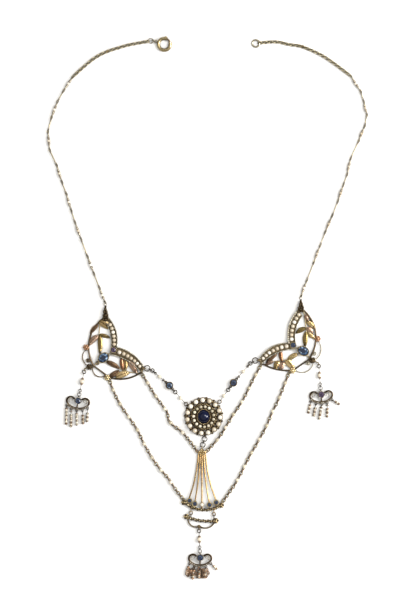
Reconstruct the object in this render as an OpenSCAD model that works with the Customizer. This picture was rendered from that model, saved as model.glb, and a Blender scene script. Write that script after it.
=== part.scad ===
// Festoon necklace, laid out flat with its clasp undone.
// X runs across the necklace, Y runs up to the clasp, Z is up from the surface it lies on.
// The right side is the viewer's right. Every size is in millimetres.

/* [Links and pins] */
// Radius of the middle line of a chain link
link_r = 0.62; // [0.60:0.01:0.64]
// Radius of the middle line of the eye at a pin's end
eye_r = 0.47; // [0.45:0.01:0.48]
// Radius of the wire of links and eyes
wire_r = 0.15; // [0.14:0.01:0.15]
// Radius of the middle line of a jump ring
jump_r = 0.8; // [0.78:0.01:0.82]
// Radius of the wire of a jump ring
jump_wire = 0.2; // [0.18:0.01:0.20]
// Clearance left between two rings that are linked
play = 0.12; // [0.11:0.01:0.13]
// Radius of the straight wire of a pin
pin_r = 0.12; // [0.10:0.01:0.13]

/* [Pearls] */
// Radius of a pearl on the neck chain
neck_pearl_r = 0.75; // [0.65:0.01:0.80]
// Radius of a pearl beside a connector's sapphire
connector_pearl_r = 0.9; // [0.80:0.05:0.95]
// Radius of a pearl at the foot of a drop's strand
strand_pearl_r = 0.62; // [0.55:0.01:0.70]
// Radius of the pearl above a drop
drop_pearl_r = 1.1; // [0.90:0.05:1.20]

/* [Clasp] */
// Radius of the middle line of the bolt ring
clasp_r = 2.65; // [2.55:0.05:2.75]
// Outer radius of the bolt ring's tube
clasp_tube_r = 0.8; // [0.78:0.01:0.84]
// Radius of the tube's bore, in which the bolt runs
clasp_bore_r = 0.56; // [0.54:0.01:0.58]
// Radius of the bolt
bolt_r = 0.42; // [0.38:0.01:0.44]
// Radius of the middle line of the plain end ring
end_ring_r = 1.6; // [1.40:0.05:1.70]
// Radius of the end ring's wire
end_ring_wire = 0.4; // [0.30:0.05:0.42]

/* [Chains and swags] */
// Outer radius of the fine trace chain, as a plain tube
trace_r = 0.65; // [0.55:0.05:0.70]

/* [Plaques] */
// Height of the plaque's floor under the pearls
plate_h = 0.5; // [0.40:0.05:0.60]
// Height of the walls beside the pearls
wall_h = 1.3; // [1.10:0.05:1.50]
// Width of a wall beside the pearls
wall_w = 0.45; // [0.35:0.05:0.50]
// Width of the plain outer rim
rim_w = 0.8; // [0.60:0.05:1.00]
// Height of the plain outer rim
rim_h = 1.2; // [1.00:0.05:1.40]
// Thickness of a leaf
leaf_h = 0.6; // [0.50:0.05:0.80]
// Length of the oval sapphire
oval_l = 4.6; // [4.20:0.10:4.80]
// Width of the oval sapphire
oval_w = 3.8; // [3.40:0.10:4.00]
// Radius of the small round sapphire in the notch
notch_stone_r = 1.1; // [0.95:0.05:1.15]

/* [Cluster] */
// Outer radius of the pearl cluster
cluster_r = 8.6; // [8.30:0.10:8.90]
// Number of pearls in each of its two rows
cluster_pearls = 15; // [13:1:15]
// Radius of the circle on which the outer pearls sit
outer_row_r = 7.4; // [7.20:0.10:7.50]
// Radius of an outer pearl
outer_pearl_r = 1.05; // [0.95:0.05:1.10]
// Radius of the circle on which the inner pearls sit
inner_row_r = 4.55; // [4.45:0.05:4.60]
// Radius of an inner pearl
inner_pearl_r = 0.72; // [0.65:0.01:0.74]
// Length of the oval cabochon
cabochon_l = 6.0; // [5.60:0.10:6.20]
// Width of the oval cabochon
cabochon_w = 5.2; // [4.80:0.10:5.40]

/* [Fountain] */
// Radius of each of the five fountain wires
fountain_wire_r = 0.34; // [0.30:0.01:0.35]
// Radius of a sapphire on the gallery under the wires
gallery_stone_r = 0.85; // [0.75:0.05:0.90]

/* [Hidden] */

GOLD = "goldenrod";
OLD_GOLD = "darkgoldenrod";
PEARL = "ivory";
SAPPHIRE = "steelblue";
NAVY = "midnightblue";

// Fineness of round things: rings, wires, spheres.
ring_fn = 32;
round_fn = 20;
arc_fn = 72;
// How a link and a pin's eye are rolled about the chain's own line.
link_roll = -45;
eye_roll = 45;
// Height of the chain's middle line over the surface.
chain_z = neck_pearl_r;
// Height of the middle line of jump rings, of which some stand upright on the surface.
jump_z = jump_r + jump_wire;
// Radius of the wider rings beside the clasp and under the cluster.
wide_r = 1.1;
// Clearance between a pearl and the wire that runs through it, and between a pearl and its seat.
drill_play = 0.1;
seat_gap = 0.1;
// Wall and floor of a setting.
cup_wall = 0.32;
cup_floor = 0.35;

// Middles of the links of the neck chain, from the back of the neck down to the plaque.
// A pearl's pin runs from each even point to the next, a plain bar from each odd one.
LEFT_LINKS = [[-60.3, 103.7], [-64.3, 97.7], [-67.1, 92.7], [-69.9, 85.4], [-71.5, 79.0],
    [-70.7, 70.9], [-67.6, 64.1], [-65.2, 56.5], [-63.2, 51.1], [-61.0, 43.7], [-59.3, 38.3],
    [-56.6, 30.8], [-53.7, 23.0], [-50.8, 15.3], [-48.3, 8.8], [-45.81, 2.33]];
RIGHT_LINKS = [[64.7, 104.2], [69.2, 97.2], [70.5, 92.8], [72.0, 86.6], [71.0, 81.5],
    [68.3, 74.9], [64.7, 67.0], [63.1, 59.9], [61.4, 55.1], [59.0, 47.9], [56.4, 41.2],
    [53.3, 34.0], [51.0, 27.9], [48.2, 20.5], [45.0, 12.2], [42.41, 5.24]];

// Routes of the fine chains, each from its upper end.
TRACE_LEFT = [[-26.6, 120.0], [-34.6, 118.2], [-40.0, 116.7], [-44.9, 115.1], [-50.0, 112.5],
    [-55.3, 108.3], [-59.6, 104.5]];
TRACE_RIGHT = [[24.4, 118.8], [31.0, 119.5], [37.0, 118.3], [42.7, 117.4], [50.9, 113.9],
    [57.0, 110.0], [63.9, 105.0]];
INNER_LEFT = [[-29.0, -31.2], [-26.5, -34.2], [-23.3, -39.4], [-20.2, -43.7], [-17.8, -47.2],
    [-17.2, -50.4], [-15.2, -52.9], [-11.6, -55.6], [-8.2, -59.4], [-4.95, -63.6]];
INNER_RIGHT = [[23.8, -27.2], [21.2, -31.7], [18.1, -38.0], [15.4, -43.0], [11.6, -48.6],
    [9.0, -52.9], [6.8, -56.5], [4.4, -59.8], [0.85, -63.95]];
OUTER_LEFT = [[-43.6, -33.9], [-42.0, -37.4], [-38.7, -44.0], [-34.6, -49.9], [-31.2, -55.1],
    [-28.4, -60.9], [-24.8, -67.3], [-21.3, -72.2], [-17.2, -77.0], [-14.4, -81.3], [-10.9, -85.5]];
OUTER_RIGHT = [[36.7, -30.9], [34.7, -35.2], [32.0, -41.9], [29.1, -47.9], [26.5, -53.9],
    [23.1, -60.2], [19.0, -67.3], [16.0, -73.3], [13.1, -78.8], [10.8, -82.1], [7.5, -86.9]];
trace_rings = 11;
inner_rings = 12;
outer_rings = 15;

// Plans of the two plaques, from the outer corner of the notch between their lobes.
// X runs to the middle of the necklace on both. Each arc has three points on it.
// A leaf's row is the x and y of its foot, the x and y of its tip, and its width.
// A row of band pearls gives their number, the shares of the band's length at which the first and
// last pearl sit, and the radii of these two.
PLAN_LEFT = [
    ["at", [-40.6, -17.8]],
    ["upper_outer", [[-3.4, 13.0], [0.1, 5.6], [0, 0]]],
    ["upper_inner", [[-4.9, 11.4], [-2.8, 6.5], [-2.9, -2.4]]],
    ["lower_outer", [[0, 0], [5.9, -2.3], [12.0, -8.6]]],
    ["lower_inner", [[-2.7, -3.2], [4.6, -5.9], [10.9, -11.0]]],
    ["rim", [[-5.6, 13.2], [-12.5, 1.5], [-10.3, -8.4]]],
    ["corner", [-3.4, -13.5]],
    ["foot", [[-3.4, -13.5], [3.5, -14.3], [11.6, -10.9]]],
    ["cap", [[-5.0, 19.2], [-4.9, 12.4]]],
    ["tip_eye", [12.6, -9.4]],
    ["notch", [-1.35, -1.2]],
    ["oval", [-5.9, -4.7]],
    ["oval_turn", 35],
    ["upper_pearls", [6, 0.18, 0.82, 0.85, 0.85]],
    ["lower_pearls", [7, 0.18, 0.90, 0.95, 0.75]],
    ["leaves", [
        [-7.6, 5.6, -7.6, -3.0, 2.0], [-8.0, 5.4, -12.6, 0.6, 2.2], [-8.0, 12.0, -3.2, 8.3, 3.2],
        [-7.9, 5.6, -2.9, 4.2, 1.4], [-8.2, 10.2, -11.9, 5.9, 1.6], [-4.6, -6.4, 1.4, -9.6, 2.0],
        [2.2, -4.5, 2.9, -10.6, 1.6], [3.9, -5.2, 3.9, -10.8, 1.8], [5.4, -6.2, 9.1, -11.9, 2.6],
        [-0.4, -13.6, 6.0, -11.3, 2.8], [-3.2, -13.2, 1.2, -10.4, 2.0]]],
    ["stems", [
        [-7.2, 12.2, -8.0, 5.2], [1.2, -9.5, 6.2, -11.4], [5.6, -11.2, 9.8, -11.6],
        [-7.6, -6.6, -10.2, -8.2], [-4.2, -3.4, -2.6, -2.6]]],
    ["clusters", [[-13.7, -0.1], [-12.2, -8.9], [-4.2, -13.7]]],
    ["curls", [
        [[-13.8, -1.2], [-15.3, -5.0], [-12.9, -8.4]],
        [[-10.8, -9.2], [-10.2, -11.8], [-5.2, -12.8]]]],
    ["curl_rings", [[-12.8, -6.0], [-8.7, -7.2]]],
    ["drop_eye", [-14.4, -10.3]],
    ["swag_eyes", [[-3.1, -15.0], [11.6, -12.3]]]];
PLAN_RIGHT = [
    ["at", [36.9, -15.9]],
    ["upper_outer", [[-4.4, 15.0], [0.1, 6.6], [0, 0]]],
    ["upper_inner", [[-6.0, 12.2], [-3.2, 6.5], [-3.2, -1.4]]],
    ["lower_outer", [[0, 0], [6.7, -1.3], [13.2, -7.1]]],
    ["lower_inner", [[-3.0, -2.8], [4.8, -4.2], [12.0, -9.2]]],
    ["rim", [[-6.3, 15.0], [-12.2, 2.3], [-8.9, -7.5]]],
    ["corner", [-2.0, -12.3]],
    ["foot", [[-2.0, -12.3], [4.8, -12.0], [12.4, -9.0]]],
    ["cap", [[-5.4, 20.2], [-5.3, 14.2]]],
    ["tip_eye", [13.9, -7.8]],
    ["notch", [-1.9, -1.0]],
    ["oval", [-6.4, -3.6]],
    ["oval_turn", 25],
    ["upper_pearls", [7, 0.08, 0.84, 0.88, 0.88]],
    ["lower_pearls", [7, 0.16, 0.90, 0.95, 0.75]],
    ["leaves", [
        [-7.2, 12.8, -8.9, 9.6, 1.6], [-7.8, 9.9, -11.9, 6.4, 2.2], [-7.6, 6.8, -3.2, 4.4, 1.9],
        [-7.8, 6.9, -10.9, 4.0, 2.2], [-8.4, 5.2, -12.1, 1.7, 1.8], [-7.8, 5.2, -7.4, -1.6, 2.1],
        [-4.1, -4.8, 0.8, -7.8, 2.0], [1.6, -7.6, -2.3, -11.7, 3.0], [3.8, -3.4, 3.0, -8.6, 1.6],
        [5.3, -4.6, 10.1, -9.1, 1.9], [2.4, -8.4, 3.8, -12.2, 2.6], [4.6, -8.0, 6.3, -12.0, 2.2],
        [6.9, -8.2, 10.6, -9.9, 1.4]]],
    ["stems", [
        [-6.8, 14.0, -8.0, 4.8], [0.6, -7.6, 7.2, -8.4], [-8.4, -5.6, -9.4, -7.0],
        [-4.6, -2.4, -2.8, -2.2]]],
    ["clusters", [[-12.9, 1.8], [-10.6, -7.8], [-1.7, -12.4]]],
    ["curls", [
        [[-13.2, 0.8], [-14.5, -3.0], [-11.9, -7.6]],
        [[-10.9, -8.8], [-8.6, -12.6], [-3.0, -12.2]]]],
    ["curl_rings", [[-11.4, -4.8], [-8.6, -9.2]]],
    ["drop_eye", [-13.4, -9.6]],
    ["swag_eyes", [[0.0, -13.8], [12.7, -10.3]]]];

// The three drops. Each row of strands is the x and y of the strand's end, from the stone,
// in the order of the five loops on the scroll from left to right.
DROP_LEFT = [
    ["hook", [-55.0, -28.1]],
    ["stone", [-57.9, -41.9]],
    ["turn", -8],
    ["ends", [[-5.4, -10.6], [-3.2, -11.8], [-0.6, -11.0], [2.2, -10.4], [4.0, -9.4]]]];
DROP_RIGHT = [
    ["hook", [50.3, -25.5]],
    ["stone", [51.4, -39.1]],
    ["turn", 4],
    ["ends", [[-5.8, -8.4], [-3.4, -9.8], [-0.9, -11.2], [2.7, -10.2], [8.2, -4.4]]]];
DROP_CENTRE = [
    ["hook", [-3.5, -99.6]],
    ["stone", [-3.0, -112.4]],
    ["turn", 0],
    ["ends", [[-6.3, -7.8], [-3.4, -9.7], [-0.6, -9.4], [2.2, -9.2], [7.6, -5.4]]]];

// Places along the middle of the necklace.
CLASP_AT = [-19.1, 118.4];
END_RING_AT = [22.1, 118.8];
CLUSTER_AT = [-1.4, -49.0];
// Direction of each eye on the cluster's edge, and how far its middle lies from the cluster's.
CLUSTER_EYES = [[145, 9.8], [43, 9.8], [-85, 9.0]];
FOUNTAIN_TOP = [-2.2, -63.4];
GALLERY = [[-10.2, -87.6], [-2.4, -90.9], [6.5, -88.9]];
GALLERY_STONES = [[-7.8, -86.8], [-5.4, -88.2], [1.2, -88.7], [4.2, -87.6]];
GALLERY_CLUSTERS = [[-10.1, -87.53], [6.6, -88.83]];
GALLERY_PEARL = [-2.2, -88.6];
WIRE_FEET = [[-7.9, -85.7], [-5.3, -87.1], [-2.2, -87.8], [1.1, -87.6], [4.1, -86.5]];
BOW = [[-9.2, -94.0], [-2.6, -95.8], [4.1, -95.9]];
BOW_CLUSTERS = [[-9.05, -94.0], [3.95, -95.8]];
BOW_RINGS = [[-7.1, -92.3], [3.2, -92.9]];
GARLANDS = [[[-8.4, -94.4], [-7.3, -97.8], [-4.0, -98.6]], [[3.6, -96.0], [1.9, -98.4], [-2.9, -98.6]]];

// The big ring that starts a connector and the place its next ring points to, and its stone.
CONNECT_LEFT = [[-26.8, -27.3], [-24.2, -28.4]];
CONNECT_RIGHT = [[21.8, -23.8], [19.5, -25.2]];
STONE_LEFT = [-16.8, -35.0];
STONE_RIGHT = [12.0, -33.8];

// Value of a named row of a plan.
function of(plan, name) = plan[search([name], plan)[0]][1];
function unit(a, b) = (b - a) / norm(b - a);
function heading(a, b) = atan2(b[1] - a[1], b[0] - a[0]);
function mid(a, b) = (a + b) / 2;
function mix(a, b, t) = a * (1 - t) + b * t;
// Distance between the middles of two rings that are linked and pulled apart.
function linked(ra, wa, rb, wb) = ra + rb - wa - wb - play;
// Circle through three points: middle and radius.
function circle_of(p) =
    let (a = p[1] - p[0], b = p[2] - p[0], d = 2 * (a[0] * b[1] - a[1] * b[0]),
        x = (b[1] * (a * a) - a[1] * (b * b)) / d, y = (a[0] * (b * b) - b[0] * (a * a)) / d)
    [p[0] + [x, y], norm([x, y])];
// Turn from the arc's first point to its last, the way that passes its second.
function sweep_of(p) =
    let (c = circle_of(p)[0], a0 = heading(c, p[0]), whole = (heading(c, p[2]) - a0 + 720) % 360,
        part = (heading(c, p[1]) - a0 + 720) % 360)
    part <= whole ? whole : whole - 360;
// Point at fraction t along the arc through three points.
function on_arc(p, t) =
    let (c = circle_of(p), a = heading(c[0], p[0]) + sweep_of(p) * t)
    c[0] + c[1] * [cos(a), sin(a)];
function arc(p, n) = [for (i = [0:n]) on_arc(p, i / n)];
// Smooth curve through route points, at s counted in points.
function on_route(p, s) =
    let (last = len(p) - 1, i = min(floor(s), last - 1), t = s - i,
        a = p[max(i - 1, 0)], b = p[i], c = p[i + 1], d = p[min(i + 2, last)])
    0.5 * (2 * b + (c - a) * t + (2 * a - 5 * b + 4 * c - d) * t * t + (3 * b - a - 3 * c + d) * t * t * t);
// Sides of a flat strip of width w along points.
function along(p, i) = unit(p[max(i - 1, 0)], p[min(i + 1, len(p) - 1)]);
function beside(p, i, w) = let (u = along(p, i)) p[i] + w / 2 * [-u[1], u[0]];
function strip(p, w) = concat(
    [for (i = [0:len(p) - 1]) beside(p, i, w)], [for (i = [len(p) - 1:-1:0]) beside(p, i, -w)]);

// A ring of round wire; at roll 0 it lies flat, and yaw is the line it rolls about.
module ring(at, z, r, w, roll = 0, yaw = 0) {
    translate([at[0], at[1], z]) rotate([0, 0, yaw]) rotate([roll, 0, 0])
        rotate_extrude($fn = ring_fn) translate([r, 0]) circle(r = w, $fn = round_fn);
}

// A straight round wire between two places at one height.
module wire(a, b, z, r) {
    translate([a[0], a[1], z]) rotate([0, 90, heading(a, b)])
        cylinder(h = norm(b - a), r = r, $fn = round_fn);
}

// A pin with an eye at each end. Points a and b are the eyes' middles.
module eye_pin(a, b, z, roll = eye_roll) {
    ring(a, z, eye_r, wire_r, roll, heading(a, b));
    ring(b, z, eye_r, wire_r, roll, heading(a, b));
    wire(a + eye_r * unit(a, b), b - eye_r * unit(a, b), z, pin_r);
}

// A pearl drilled along the line from a to b.
module pearl(at, z, r, a, b) {
    difference() {
        translate([at[0], at[1], z]) sphere(r = r, $fn = ring_fn);
        wire(at - 2 * r * unit(a, b), at + 2 * r * unit(a, b), z, pin_r + drill_play);
    }
}

module whole_pearl(at, z, r) {
    translate([at[0], at[1], z]) sphere(r = r, $fn = ring_fn);
}

// A flat strip of metal along points, standing on height z.
module band(p, w, z, h) {
    translate([0, 0, z]) linear_extrude(h) polygon(strip(p, w));
}

// A round wire swept along points by rings of a few sides.
module swept(p, z, r) {
    sides = 8;
    rings = [for (i = [0:len(p) - 1]) let (u = along(p, i)) [for (k = [0:sides - 1])
        let (t = 360 * (k + 0.5) / sides)
        [p[i][0] - r * cos(t) * u[1], p[i][1] + r * cos(t) * u[0], z + r * sin(t)]]];
    last = len(p) - 1;
    walls = [for (i = [0:last - 1], k = [0:sides - 1]) let (n = (k + 1) % sides)
        [i * sides + k, i * sides + n, (i + 1) * sides + n, (i + 1) * sides + k]];
    ends = [[for (k = [sides - 1:-1:0]) k], [for (k = [0:sides - 1]) last * sides + k]];
    polyhedron(points = [for (q = rings) each q], faces = concat(walls, ends));
}

// A round wire bent along the arc through three points.
module bent_wire(p, z, r) {
    c = circle_of(p);
    a = heading(c[0], p[0]);
    turn = sweep_of(p);
    translate([c[0][0], c[0][1], z]) rotate([0, 0, turn > 0 ? a : a + turn])
        rotate_extrude(angle = abs(turn), $fn = arc_fn) translate([c[1], 0]) circle(r = r, $fn = round_fn);
}

// The plain tube that stands for a fine chain along its route.
module chain_tube(route, rings) {
    span = len(route) - 1;
    swept([for (i = [0:rings - 1]) on_route(route, span * i / (rings - 1))], trace_r, trace_r);
}

// A cut stone: eight-sided table, sixteen-sided girdle and a pointed foot under it.
module cut_stone(at, z, r, long = 1, turn = 0) {
    crown_h = 0.38 * r;
    foot_h = 0.75 * r;
    translate([at[0], at[1], z]) rotate([0, 0, turn]) scale([long, 1, 1]) hull() {
        translate([0, 0, crown_h]) linear_extrude(0.01) circle(r = 0.58 * r, $fn = 8);
        linear_extrude(0.06 * r) circle(r = r, $fn = 16);
        translate([0, 0, -foot_h]) linear_extrude(0.01) circle(r = 0.12 * r, $fn = 8);
    }
}

// A round setting: a cup with a bored seat that leaves a small gap round the stone.
module collet(at, h, r_stone) {
    translate([at[0], at[1], 0]) difference() {
        cylinder(h = h, r = r_stone + seat_gap + cup_wall, $fn = ring_fn);
        translate([0, 0, cup_floor]) cylinder(h = h, r = r_stone + seat_gap, $fn = ring_fn);
    }
}

// Seven grains of metal fused to each other, on a plaque.
module grain_knot(at, z, r) {
    spread = 1.5 * r;
    translate([at[0], at[1], z]) {
        translate([0, 0, 0.5 * r]) sphere(r = 1.1 * r, $fn = round_fn);
        for (i = [0:5]) rotate([0, 0, 60 * i]) translate([spread, 0, 0]) sphere(r = r, $fn = round_fn);
    }
}

// Seven smaller grains on a round bed, at the end of a bar.
module grain_bed(at, z, r) {
    grain = 0.68 * r;
    spread = 1.42 * r;
    translate([at[0], at[1], z]) {
        translate([0, 0, -r]) cylinder(h = 0.8 * r, r = 1.8 * r, $fn = ring_fn);
        translate([0, 0, 0.12 * r]) sphere(r = 1.05 * grain, $fn = round_fn);
        for (i = [0:5]) rotate([0, 0, 60 * i]) translate([spread, 0, 0]) sphere(r = grain, $fn = round_fn);
    }
}

// Neck chain

bar_r = 0.28;
// Where a bar starts, from the middle of its eye.
bar_start = eye_r + 0.05;
wrap_gap = 0.12;
module neck_chain(links) {
    reach = linked(link_r, wire_r, eye_r, wire_r);
    for (i = [0:len(links) - 1]) {
        a = links[max(i - 1, 0)];
        b = links[min(i + 1, len(links) - 1)];
        ring(links[i], chain_z, link_r, wire_r, link_roll, heading(a, b));
    }
    for (i = [0:len(links) - 2]) {
        u = unit(links[i], links[i + 1]);
        a = links[i] + (reach + bar_start) * u;
        b = links[i + 1] - (reach + bar_start) * u;
        eye_pin(links[i] + reach * u, links[i + 1] - reach * u, chain_z);
        // A thick bar, or the wire wrapped round the pin on each side of its pearl
        if (i % 2 == 1) wire(a, b, chain_z, bar_r);
        else for (ends = [[a, -1], [b, 1]])
            wire(ends[0], mid(a, b) + ends[1] * (neck_pearl_r + wrap_gap) * u, chain_z, bar_r);
    }
}

module neck_pearls(links) {
    for (i = [0:2:len(links) - 2])
        pearl(mid(links[i], links[i + 1]), chain_z, neck_pearl_r, links[i], links[i + 1]);
}

module neck_chain_left() { color(OLD_GOLD) neck_chain(LEFT_LINKS); }
module neck_chain_right() { color(OLD_GOLD) neck_chain(RIGHT_LINKS); }
module neck_pearls_left() { color(PEARL) neck_pearls(LEFT_LINKS); }
module neck_pearls_right() { color(PEARL) neck_pearls(RIGHT_LINKS); }

// Fine chains

module trace_chain_left() { color(OLD_GOLD) chain_tube(TRACE_LEFT, trace_rings); }
module trace_chain_right() { color(OLD_GOLD) chain_tube(TRACE_RIGHT, trace_rings); }
module inner_swag_left() { color(OLD_GOLD) chain_tube(INNER_LEFT, inner_rings); }
module inner_swag_right() { color(OLD_GOLD) chain_tube(INNER_RIGHT, inner_rings); }
module outer_swag_left() { color(OLD_GOLD) chain_tube(OUTER_LEFT, outer_rings); }
module outer_swag_right() { color(OLD_GOLD) chain_tube(OUTER_RIGHT, outer_rings); }

// Clasp

// The mouth of the bolt ring faces the other end of the necklace.
mouth_from = 20;
mouth_to = 62;
// Angles that the bolt fills when the clasp is shut, and the turn that opens it.
bolt_from = mouth_from - 12;
bolt_to = mouth_to + 70;
bolt_travel = 50;
// The slot in the tube's outer wall, in which the bolt's thumb piece runs.
knob_at = mouth_to + 16;
knob_r = 0.26;
slot_w = 2 * knob_r + 0.24;
slot_margin = 9;
tail_turn = 162;
tail_r = 0.62;
tail_sunk = 0.15;
tail_stalk_r = 0.27;
tail_out = clasp_r + clasp_tube_r + tail_r;
tail_at = CLASP_AT + tail_out * [cos(tail_turn), sin(tail_turn)];
tail_way = [cos(tail_turn), sin(tail_turn)];
clasp_link_at = tail_at + linked(tail_r, jump_wire, jump_r, jump_wire) * tail_way;

module clasp_ring() {
    color(GOLD) {
        translate([CLASP_AT[0], CLASP_AT[1], clasp_tube_r]) difference() {
            rotate([0, 0, mouth_to]) rotate_extrude(angle = 360 - (mouth_to - mouth_from), $fn = 72)
                translate([clasp_r, 0]) circle(r = clasp_tube_r, $fn = ring_fn);
            rotate([0, 0, mouth_to - 4]) rotate_extrude(angle = 150, $fn = 72)
                translate([clasp_r, 0]) circle(r = clasp_bore_r, $fn = ring_fn);
            rotate([0, 0, mouth_from - 20]) rotate_extrude(angle = 24, $fn = 72)
                translate([clasp_r, 0]) circle(r = clasp_bore_r, $fn = ring_fn);
            rotate([0, 0, knob_at - slot_margin])
                rotate_extrude(angle = bolt_travel + 2 * slot_margin, $fn = 72)
                translate([clasp_r + bolt_r / 2, -slot_w / 2]) square([clasp_tube_r, slot_w]);
        }
        ring(tail_at, jump_z, tail_r, jump_wire);
        wire(tail_at - (tail_r - jump_wire / 2) * tail_way,
            CLASP_AT + (clasp_r + clasp_tube_r - tail_sunk) * tail_way, jump_z, tail_stalk_r);
    }
}

module clasp_bolt() {
    color(OLD_GOLD) translate([CLASP_AT[0], CLASP_AT[1], clasp_tube_r]) {
        rotate([0, 0, bolt_from]) rotate_extrude(angle = bolt_to - bolt_from, $fn = 72)
            translate([clasp_r, 0]) circle(r = bolt_r, $fn = ring_fn);
        rotate([0, 0, knob_at]) translate([clasp_r, 0, 0]) rotate([0, 90, 0])
            cylinder(h = clasp_tube_r + 0.45, r = knob_r, $fn = round_fn);
    }
}

module clasp_links() {
    color(OLD_GOLD) {
        ring(clasp_link_at, jump_z, jump_r, jump_wire, 90, tail_turn);
        ring(clasp_link_at - [linked(jump_r, jump_wire, wide_r, jump_wire), 0], jump_z, wide_r, jump_wire);
    }
}

module end_ring() {
    color(GOLD) ring(END_RING_AT, end_ring_wire, end_ring_r, end_ring_wire);
}

// Plaques

// Places a thing drawn on a plaque's plan; the right plaque's plan is mirrored.
module on_plaque(plan, side) {
    at = of(plan, "at");
    translate([at[0], at[1], 0]) mirror([side > 0 ? 1 : 0, 0, 0]) children();
}

arc_steps = 14;
leaf_steps = 5;
// Share of the band's width at which its pearls sit, from the inner wall.
pearl_line = 0.5;
pearl_gap = 0.15;

function leaf_side(foot, tip, width, side) = [for (i = [0:leaf_steps])
    let (t = i / leaf_steps, u = unit(foot, tip), s = sin(180 * pow(t, 0.85)))
    mix(foot, tip, t) + side * width / 2 * (s + 0.08 * (1 - t)) * [-u[1], u[0]]];

module leaf(foot, tip, width) {
    rib_w = 0.24;
    leaf_z = 0.45;
    outline = concat(leaf_side(foot, tip, width, 1),
        [for (i = [leaf_steps - 1:-1:0]) leaf_side(foot, tip, width, -1)[i]]);
    translate([0, 0, leaf_z]) linear_extrude(leaf_h) polygon(outline);
    band([mix(foot, tip, -0.04), mix(foot, tip, 0.96)], rib_w, leaf_z - 0.1, leaf_h + 0.25);
}

module pearl_band(outer, inner) {
    o = arc(outer, arc_steps);
    i = arc(inner, arc_steps);
    linear_extrude(plate_h) polygon(concat(o, [for (k = [arc_steps:-1:0]) i[k]]));
    band(o, wall_w, 0, wall_h);
    band(i, wall_w, 0, wall_h);
}

module plaque(plan, side) {
    cap = of(plan, "cap");
    rim = of(plan, "rim");
    pearl_band(of(plan, "upper_outer"), of(plan, "upper_inner"));
    pearl_band(of(plan, "lower_outer"), of(plan, "lower_inner"));
    band(concat(arc(rim, arc_steps), [mix(rim[2], of(plan, "corner"), 0.5), of(plan, "corner")]),
        rim_w, 0, rim_h);
    band(arc(of(plan, "foot"), arc_steps), rim_w, 0, rim_h);
    // The tapering cap at the top, and the eye that the chain hangs from
    linear_extrude(cap_h) polygon([cap[1] + [-2.1, -0.4], cap[1] + [2.1, -0.4],
        cap[0] + [0.5, -1.2], cap[0] + [0.25, -0.75], cap[0] + [-0.25, -0.75], cap[0] + [-0.5, -1.2]]);
    ring(cap[0], chain_z, cap_eye_r, wire_r, side * eye_roll, 90);
    // The tip, with its eye for the connector
    tip = of(plan, "tip_eye");
    linear_extrude(rim_h) polygon([of(plan, "lower_outer")[2] + [-0.4, 0.2], tip + [-0.5, 0.4],
        tip + [-0.5, -0.5], of(plan, "foot")[2] + [0.2, -0.3], of(plan, "lower_inner")[2]]);
    ring(tip, jump_z, hook_r, hook_wire, 90, tip_turn);
    for (row = of(plan, "leaves")) leaf([row[0], row[1]], [row[2], row[3]], row[4]);
    for (row = of(plan, "stems")) band([[row[0], row[1]], [row[2], row[3]]], stem_w, 0.2, stem_h);
    notch = of(plan, "notch");
    collet(notch, notch_h, notch_stone_r);
    oval_setting(of(plan, "oval"), of(plan, "oval_turn"));
    for (at = of(plan, "clusters")) grain_knot(at, 0.75, grain_r);
    for (p = of(plan, "curls")) bent_wire(p, curl_z, curl_wire);
    for (at = of(plan, "curl_rings")) ring(at, curl_z, curl_ring_r, curl_wire);
    drop_eye = of(plan, "drop_eye");
    ring(drop_eye, drop_z, hook_r, hook_wire, 90, 90);
    wire(drop_eye + [0, hook_r], of(plan, "clusters")[1], drop_z, stalk_r);
    for (at = of(plan, "swag_eyes")) {
        ring(at, swag_z, swag_eye_r, jump_wire);
        wire(at + [0, swag_eye_r], at + [0, swag_stalk], swag_z, stalk_r);
    }
}
cap_h = 1.7;
cap_eye_r = 0.75;
tip_turn = -20;
stem_w = 0.5;
stem_h = 0.75;
notch_h = 1.75;
grain_r = 0.62;
curl_z = 0.6;
curl_wire = 0.24;
curl_ring_r = 0.75;
swag_z = 0.65;
swag_eye_r = 0.6;
// How far the stalk of a swag's eye reaches up from the eye's middle, into the rim.
swag_stalk = 1.7;
stalk_r = 0.3;
// Height of the middle line of the drops' chains, over pearls that lie on the surface.
drop_z = drop_pearl_r;

setting_h = 1.9;
module oval_setting(at, turn) {
    long = oval_l / oval_w;
    translate([at[0], at[1], 0]) rotate([0, 0, turn]) difference() {
        linear_extrude(setting_h) polygon(oval(oval_w / 2 + seat_gap + cup_wall, long, 1));
        translate([0, 0, cup_floor]) linear_extrude(setting_h) polygon(oval(oval_w / 2 + seat_gap, long, 1));
    }
}
function oval(r, x, y) = [for (i = [0:23]) r * [x * cos(15 * i), y * sin(15 * i)]];

// The share of a band's length at which pearl k sits. The pearls grow smaller by even steps.
function band_share(row, k) =
    let (last = row[0] - 1, first_step = 2 * row[3] + pearl_gap, shrink = (row[4] - row[3]) / last)
    mix(row[1], row[2], (k * first_step + shrink * k * k) / (last * first_step + shrink * last * last));

module band_pearls(outer, inner, row) {
    for (k = [0:row[0] - 1]) {
        share = band_share(row, k);
        r = mix(row[3], row[4], k / (row[0] - 1));
        whole_pearl(mix(on_arc(inner, share), on_arc(outer, share), pearl_line), plate_h + seat_gap + r, r);
    }
}

module plaque_pearls(plan) {
    band_pearls(of(plan, "upper_outer"), of(plan, "upper_inner"), of(plan, "upper_pearls"));
    band_pearls(of(plan, "lower_outer"), of(plan, "lower_inner"), of(plan, "lower_pearls"));
}

module notch_sapphire(plan) {
    cut_stone(of(plan, "notch"), 1.55, notch_stone_r);
}

module oval_sapphire(plan) {
    cut_stone(of(plan, "oval"), 1.85, oval_w / 2 - 0.05, oval_l / oval_w, of(plan, "oval_turn"));
}

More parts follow.
